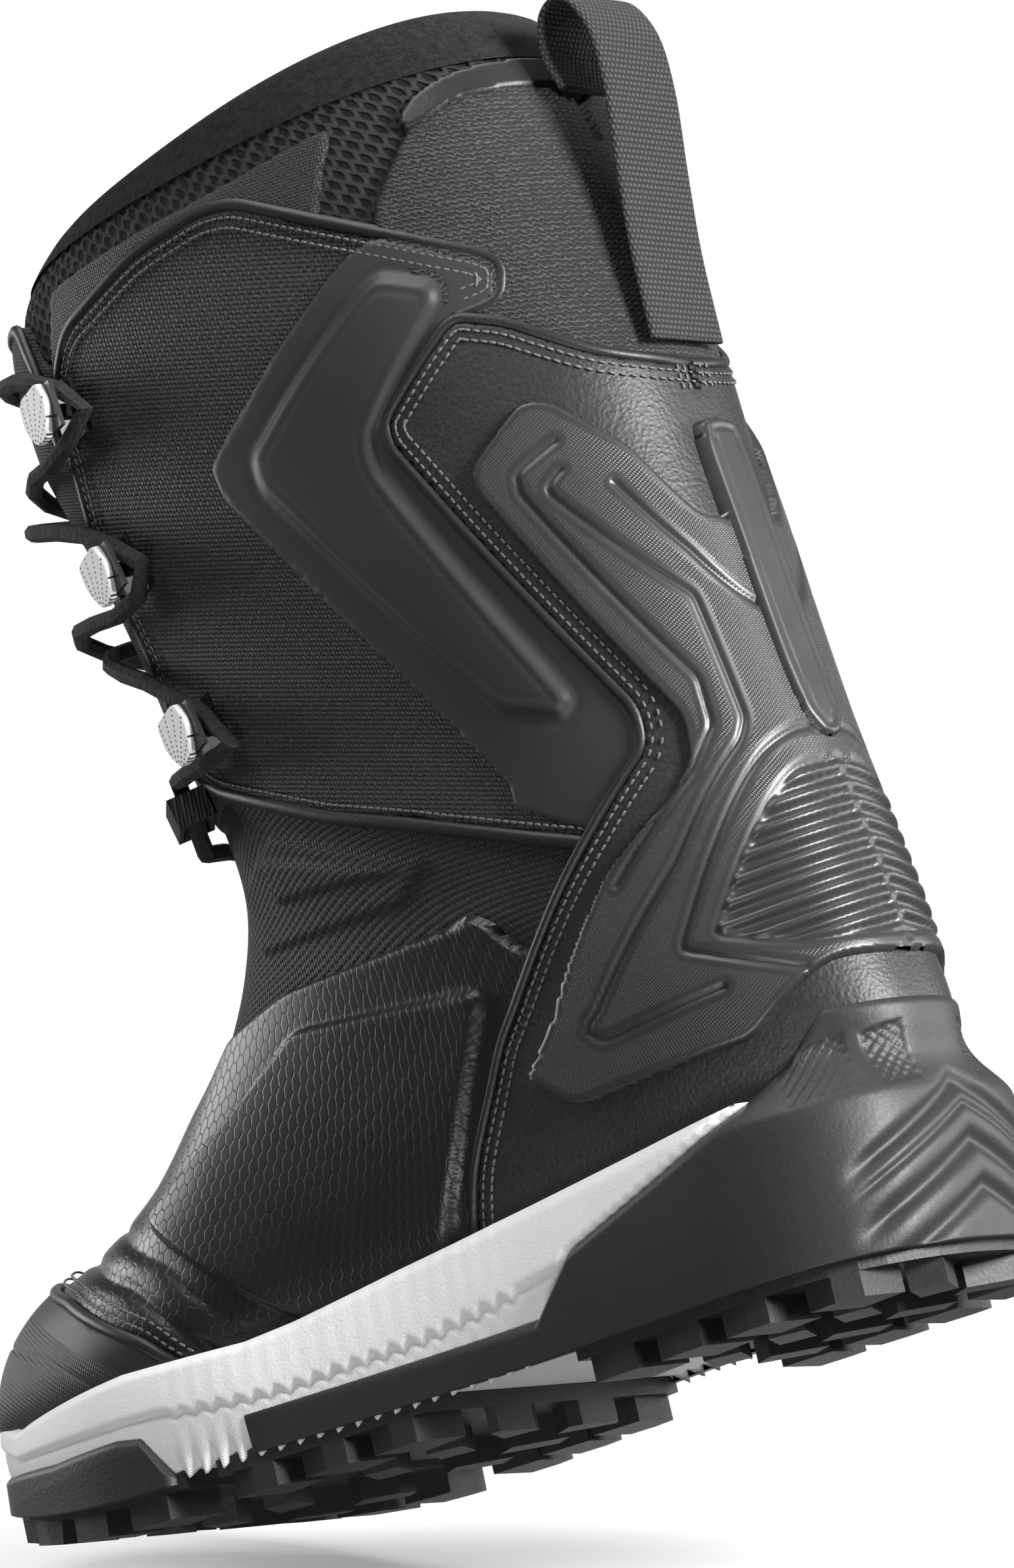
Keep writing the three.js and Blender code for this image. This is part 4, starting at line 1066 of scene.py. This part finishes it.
def makeCup():
    # Plan angle by height. Low down the wall follows the sole's outline, high up the boot's skin;
    # chevron channels on the back, two windows of diamonds each side
    plan, _, _ = soleOutline(1000)
    rel = plan - [cup["center"] * along, 0]
    ringPhi = np.arctan2(rel[:, 1], rel[:, 0])
    order = np.argsort(ringPhi)
    phi = np.linspace(-cup["reach"], cup["reach"], 440)
    soleR = np.interp(phi, ringPhi[order], np.hypot(rel[:, 0], rel[:, 1])[order])
    x = cup["center"] * along + soleR * np.cos(phi)
    line = np.array(counterTop[::-1], float)
    top = np.interp(x / along * 0.975, [r[0] for r in line], [r[1] for r in line]) * upward
    v = np.linspace(0, 1, 120)[:, None]
    z = cup["bottom"] + (top - cup["bottom"])[None] * v
    phiGrid = np.broadcast_to(phi[None], z.shape)
    upperR = upperRadius(phiGrid, np.maximum(z, 30))
    kernel = np.ones(9) / 9
    for axis, width in ((0, ((4, 4), (0, 0))), (1, ((0, 0), (4, 4)))):
        upperR = np.apply_along_axis(lambda q: np.convolve(q, kernel, "valid"), axis, np.pad(upperR, width, "edge"))
    low = 1 - smooth(z, 44, 62)
    wantLow = soleR[None] + 0.6 + 1.4 * np.sin(np.clip(z / 46, 0, 1) * math.pi) - 2.5 * smooth(z, 40, 64)
    r = wantLow * low + (upperR + cup["skin"]) * (1 - low)
    edge = np.minimum(top[None] - z, (cup["reach"] - np.abs(phi[None])) * 60)
    r -= (cup["skin"] + 1.6) * (1 - np.sqrt(np.clip(1 - (1 - np.clip(edge / 3.0, 0, 1)) ** 2, 0, 1)))
    arc = phiGrid * 50
    y = np.abs(arc)
    # chevrons: distance to V lines whose arms fall away from the back's middle
    for apex, width, depth in ((46, 2.0, 2.0), (40.5, 1.0, 1.0), (32, 2.2, 2.2), (21, 2.0, 1.8)):
        d = np.abs(z - (apex - 0.62 * y)) * 0.85
        r -= depth * np.exp(-((d / width) ** 2)) * (1 - smooth(y, 24, 34))
    # windows: sheared boxes filled with diamonds
    for lo, hi in ((9, 19), (22, 40)):
        bottom, ceiling = 47 - (y - lo) * 0.12, 62 - (y - lo) * 0.16
        inner = np.minimum(np.minimum(y - lo, hi - y), np.minimum(z - bottom, ceiling - z))
        grid = np.abs(np.sin((y + z) * 1.15)) * np.abs(np.sin((y - z) * 1.15))
        r -= smooth(inner, 0, 1) * (0.9 - 0.7 * grid)
    points = np.stack([cup["center"] * along + r * np.cos(phiGrid), r * np.sin(phiGrid), z], -1)
    inner = points[-1] - np.stack([np.cos(phi) * 3, np.sin(phi) * 3, np.full(len(phi), 1.0)], 1)
    under = points[0] - np.stack([np.cos(phi) * 6, np.sin(phi) * 6, np.zeros(len(phi))], 1)
    points = np.concatenate([under[None], points, inner[None]])
    faces = gridFaces(len(points), len(phi))
    uv = np.concatenate([[arc[0]], arc, [arc[-1]]]), np.concatenate([[z[0]], z, [z[-1]]])
    return newMesh("heel_cup", points.reshape(-1, 3), [faces], None, np.stack([uv[0].ravel(), uv[1].ravel()], 1))


dress(makeCup(), "cup", "foot", ["heel_counter"])

# Liner


def makeLiner(name, levelFrom, levelTo, outer, inner, low=0.0, pockets=0.0, close=True):
    # A tube wall: up the outside, over a half-round rim, and down the inside
    angles = np.linspace(-math.pi, math.pi, 360, endpoint=False)
    up = np.linspace(levelFrom, levelTo, 90)
    profile = [(q, outer + low * (1 - float(smooth(q, 18.6, 20.6)))) for q in up]
    if close:
        turn = np.linspace(0, math.pi, 14)[1:-1]
        middle, radius = (outer + inner) / 2, (outer - inner) / 2
        profile += [(levelTo + math.sin(t) * radius / 11.0, middle + math.cos(t) * radius) for t in turn]
        profile += [(q, inner) for q in np.linspace(levelTo, max(levelFrom, 11.5), 60)]
    profile = np.array(profile)
    l = np.broadcast_to(np.minimum(profile[:, :1], rimLevel), (len(profile), len(angles)))
    over = np.maximum(profile[:, :1] - rimLevel, 0) * 11
    a = np.broadcast_to(angles[None], l.shape)
    p = surface(l, a, np.broadcast_to(profile[:, 1:], l.shape))
    p = p + over[..., None] * np.array([-0.1, 0, 1.0])
    d = np.linalg.norm(np.diff(p, axis=0, prepend=p[:1]), axis=-1).cumsum(0)
    w = np.linalg.norm(np.diff(p, axis=1, prepend=p[:, :1]), axis=-1).mean(0).cumsum()
    uv = np.stack([np.broadcast_to(w[None], d.shape), d], -1).reshape(-1, 2)
    if pockets:
        n = normalAt(l, a)
        row = np.floor(d / 3.4)
        u = uv[:, 0].reshape(d.shape)
        pocket = np.abs(np.sin((u / 4.4 + row * 0.5) * math.pi)) * np.abs(np.sin(d / 3.4 * math.pi))
        p = p - n * (pockets * smooth(pocket, 0.15, 0.75))[..., None]
    return newMesh(name, p.reshape(-1, 3), [gridFaces(len(profile), len(angles), True)], None, uv)


cuff = makeLiner("liner_knit", 12.5, 22.9, -1.9, -13.0, -6.5, 0.6, False)
dress(cuff, "waffle", "both", ["liner_cuff"])
rim = makeLiner("liner_fleece", 22.75, rimLevel - 0.35, -1.2, -13.6)
dress(rim, "fleece", "shaft", ["liner_collar_band"])


def linerPatch(name, points, top, material, step=1.3, edge=1.2):     # a thin patch round the liner's back
    ring = bothSides(points, False, 4.0)
    return dress(panel(name, ring, step, plain(top, top - 1.6, edge)), material, "shaft")


linerPatch("liner_jersey", [(170, 303), (113, 300), (111, 306), (92, 304), (77, 280), (84, 262), (100, 240),
                            (120, 214), (170, 214)], -0.6, "jersey")
linerPatch("liner_arc_label", [(170, 314), (109, 313), (103, 312), (95, 310), (88, 305), (87, 299), (93, 299),
                               (99, 303), (109, 304), (170, 304)], -0.1, "trim", 0.9, 0.8)
for side, name in ((-1, "lateral"), (1, "medial")):
    ring = sideCurve([(-31, 302), (0, 303), (40, 304), (71, 307), (63, 284), (20, 296), (-20, 288), (-38, 280)],
                     side, 3.0, True)
    dress(panel(f"liner_ripstop_{name}", ring, 1.3, plain(-1.2, -2.4, 1.0)), "ripstop", "shaft")

# Pull loop

loopPath = np.array([(118, 300), (115, 310), (117, 319), (124, 321), (130, 311), (131, 296), (129, 276),
                     (127.4, 256), (127.4, 234)]) * [along, upward]
loopLook = {"width": 26.0, "thick": 1.9}


def openCurve(points, count):           # Catmull-Rom through the points
    p = np.vstack([2 * points[0] - points[1], points, 2 * points[-1] - points[-2]])
    t = np.linspace(0, len(points) - 1 - 1e-9, count)
    i, f = t.astype(int) + 1, (t % 1)[:, None]
    a, b, c, d = (p[i + k] for k in (-1, 0, 1, 2))
    return 0.5 * (2 * b + (c - a) * f + (2 * a - 5 * b + 4 * c - d) * f**2 + (3 * b - a - 3 * c + d) * f**3)


def makeLoop():
    # A flat strip along the side-view curve; its edges are half round and its face has woven ribs
    path = openCurve(loopPath, 420)
    w, h = loopLook["width"] / 2, loopLook["thick"] / 2
    y = np.linspace(-w, w, 60)
    face = np.stack([y, h * np.sqrt(np.clip(1 - (np.abs(y) / w) ** 16, 0, 1))], 1)
    profile = np.vstack([face, (face * [1, -1])[::-1][1:-1]])
    tangent = np.gradient(path, axis=0)
    tangent /= np.linalg.norm(tangent, axis=1, keepdims=True)
    normal = np.stack([-tangent[:, 1], tangent[:, 0]], 1)
    centers = np.c_[path[:, 0], np.zeros(len(path)), path[:, 1]]
    return sweep("pull_loop_webbing", centers, np.c_[normal[:, 0], np.zeros(len(path)), normal[:, 1]], profile)


dress(makeLoop(), "webbing", "shaft", ["pull_loop"])

# Hook plates

plateLook = {"thick": 2.0, "shape": [(-6.0, 6.2), (4.6, 7.2), (6.4, 1.0), (2.4, -7.0), (-3.4, -7.0), (-6.6, -1.0)]}


def makePlate(side, row):
    # A rounded six-sided plate, extruded with a small bevel, set where the frame has its own
    low, high = nodeBox(f"hook_plate_{side}_{row}")
    middle = (low + high) / 2
    sign = -1 if side == "lateral" else 1
    _, index = nearest(middle[None], gridPoint * [1, sign, 1])
    level, angle = gridLevel.ravel()[index], gridAngle.ravel()[index] * sign
    normal = normalAt(level, angle)[0]
    upAxis = outside(level + 0.1, angle)[0] - outside(level, angle)[0]
    upAxis /= np.linalg.norm(upAxis)
    sideAxis = np.cross(upAxis, normal)
    shape = rounded(plateLook["shape"], 2.2)
    if side == "medial":
        shape = shape[::-1] * [-1, 1]
    rings = [(shape * k, h) for k, h in ((0.97, -0.5), (1.0, -0.35), (1.0, 0.35), (0.95, 0.5))]
    points = np.concatenate([middle + edge[:, :1] * sideAxis + edge[:, 1:] * upAxis + normal * h * plateLook["thick"]
                             for edge, h in rings])
    n = len(shape)
    faces = [gridFaces(4, n, True), np.arange(n)[None, ::-1], np.arange(n)[None] + 3 * n]
    uv = np.concatenate([edge for edge, _ in rings])
    obj = newMesh(f"hook_plate_{side}_{row}_shown", points, faces, None, uv, False)
    return dress(obj, "plate", "shaft", [f"hook_plate_{side}_{row}"])


for side in ("lateral", "medial"):
    for row in ("low", "middle", "top"):
        makePlate(side, row)

# CAD pieces kept, with materials

kept = {
    "lace": "braid", "lace_loop_lateral": "ribbon", "lace_loop_medial": "ribbon", "lasting_board": "board",
    "toe_puff": "board", "heel_stiffener": "board", "shank": "hook", "footbed": "lining", "liner_foot": "lining",
    "tread_forefoot": "tread", "tread_middle": "tread", "tread_heel": "tread", "toe_bumper": "tread",
}
for side in ("lateral", "medial"):
    for row in ("low", "middle", "top"):
        kept[f"hook_{side}_{row}"] = "hook"
bevels = {"hook": 0.7, "tread": 0.8}
for name, material in kept.items():
    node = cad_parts[name]
    if material in bevels:
        bevel = node.modifiers.new("soft_edges", "BEVEL")
        bevel.width = bevels[material] * mm
        bevel.segments = 2
        bevel.limit_method = "ANGLE"
    node.data.materials.clear()
    node.data.materials.append(materials[material])
print("kept", len(kept))

# Floor, light and camera

midCam = np.array([0.0, 0.0, 165.0])
camera = {"yaw": 40.0, "elevation": -12.0, "roll": 13.0, "distance": 1800.0, "aside": 33.7, "lens": 169.3}


def axes():                             # the camera's forward, right and up directions
    a, e, r = (math.radians(camera[k]) for k in ("yaw", "elevation", "roll"))
    forward = np.array([-math.sin(a) * math.cos(e), math.cos(a) * math.cos(e), -math.sin(e)])
    right0 = np.array([math.cos(a), math.sin(a), 0])
    up0 = np.cross(right0, forward)
    return forward, right0 * math.cos(r) - up0 * math.sin(r), right0 * math.sin(r) + up0 * math.cos(r)


forward, right, up = axes()
cam = bpy.data.objects.new("camera", bpy.data.cameras.new("camera"))
bpy.context.scene.collection.objects.link(cam)
cam.data.lens = camera["lens"]
cam.data.sensor_width = 36
cam.data.clip_start, cam.data.clip_end = 0.05, 20
at = midCam + right * camera["aside"] - forward * camera["distance"]
basis = np.eye(4)
basis[:3, 0], basis[:3, 1], basis[:3, 2], basis[:3, 3] = right, up, -forward, at * mm
cam.matrix_world = Matrix(basis.tolist())
bpy.context.scene.camera = cam


def areaLight(name, towards, distance, size, power):    # a soft square lamp aimed at the boot
    lamp = bpy.data.lights.new(name, "AREA")
    lamp.energy, lamp.size = power, size
    obj = bpy.data.objects.new(name, lamp)
    bpy.context.scene.collection.objects.link(obj)
    direction = towards / np.linalg.norm(towards)
    obj.location = (midCam + direction * distance * 1000) * mm
    obj.rotation_euler = Vector(direction).to_track_quat("Z", "Y").to_euler()
    return obj


areaLight("key", -forward * 0.35 - right * 0.7 + up * 1.1, 1.3, 0.6, 8)
areaLight("side", forward * 0.15 + right * 1.2 + up * 0.25, 1.2, 0.6, 8)
areaLight("back_gloss", -forward * 0.8 + right * 0.9 + up * 0.55, 1.4, 0.4, 48)
areaLight("top", forward * 0.3 + up * 1.2 - right * 0.2, 1.2, 0.8, 8)
areaLight("toe_gloss", forward * 0.75 - right * 1.1 + up * 0.1, 1.2, 0.5, 6)
areaLight("under", -forward * 1.0 - up * 0.6 - right * 0.3, 1.4, 0.5, 7)

world = bpy.data.worlds.new("studio")
world.use_nodes = True
nodes = world.node_tree.nodes
heading = nodes.new("ShaderNodeTexCoord")
behind = nodes.new("ShaderNodeVectorMath")
behind.operation = "DOT_PRODUCT"
behind.inputs[1].default_value = tuple(forward)
white = nodes.new("ShaderNodeMapRange")
white.interpolation_type = "SMOOTHSTEP"
for key, value in (("From Min", 0.90), ("From Max", 0.97), ("To Min", 0.10), ("To Max", 1.0)):
    white.inputs[key].default_value = value
world.node_tree.links.new(heading.outputs["Generated"], behind.inputs[0])
world.node_tree.links.new(behind.outputs["Value"], white.inputs["Value"])
world.node_tree.links.new(white.outputs[0], nodes["Background"].inputs[1])
nodes["Background"].inputs[0].default_value = (1, 1, 1, 1)
bpy.context.scene.world = world
bpy.context.scene.view_settings.view_transform = "Standard"


def makeFloor():
    # A small pale disc, level in the picture, that touches the lowest point of the tread. A painted shadow, a soft
    # dark patch under the toe, fades out with distance, and so does the disc itself.
    corners = [np.array([x, y, 0.0]) for x in (-150 * along, -60 * along) for y in (-50, 50)]
    lowest = min(corners, key=lambda c: c @ up)
    lowest[2] = springAt(lowest[0] / along)
    normal = up * math.cos(0.06) - forward * math.sin(0.06)
    level = np.cross(normal, right)
    t = np.linspace(0, 2 * math.pi, 96, endpoint=False)
    r = np.linspace(0, 1, 40)[1:, None]
    spread = right * 210, level * 150
    center = lowest - normal * 7.0 + right * 70 - forward * 20
    rings = center + (np.cos(t)[:, None] * spread[0] + np.sin(t)[:, None] * spread[1])[None] * r[..., None]
    points = np.concatenate([center[None], rings.reshape(-1, 3)])
    hub = np.stack([np.zeros(96, int), (np.arange(96) + 1) % 96 + 1, np.arange(96) + 1], 1)
    faces = [gridFaces(39, 96, True, 1), hub]
    # 1 in the middle and 0 at the rim: the strength of the painted shadow and of the disc's opacity
    shadow_and_fade = np.concatenate([[1.0], np.broadcast_to(1 - r, (39, 96)).ravel()])
    obj = newMesh("floor", points, faces, {"shadow_and_fade": shadow_and_fade})
    s = Shader("pale_floor", Specular_IOR_Level=0.0)
    near = s.attribute("shadow_and_fade")
    # painted shadow: the colour goes from 0.95 at the rim to 0.30 in the middle, under the toe
    s.finish(s.tint(near.band(0.15, 1.0), 0.95, 0.30), 0.9 + s.noise(s.place("Object", 1.0), 0.2, 2) * 0.05)
    s.feed(s.surface.inputs["Alpha"], near.band(0.0, 0.9) * 0.75)
    obj.data.materials.append(s.material)


makeFloor()
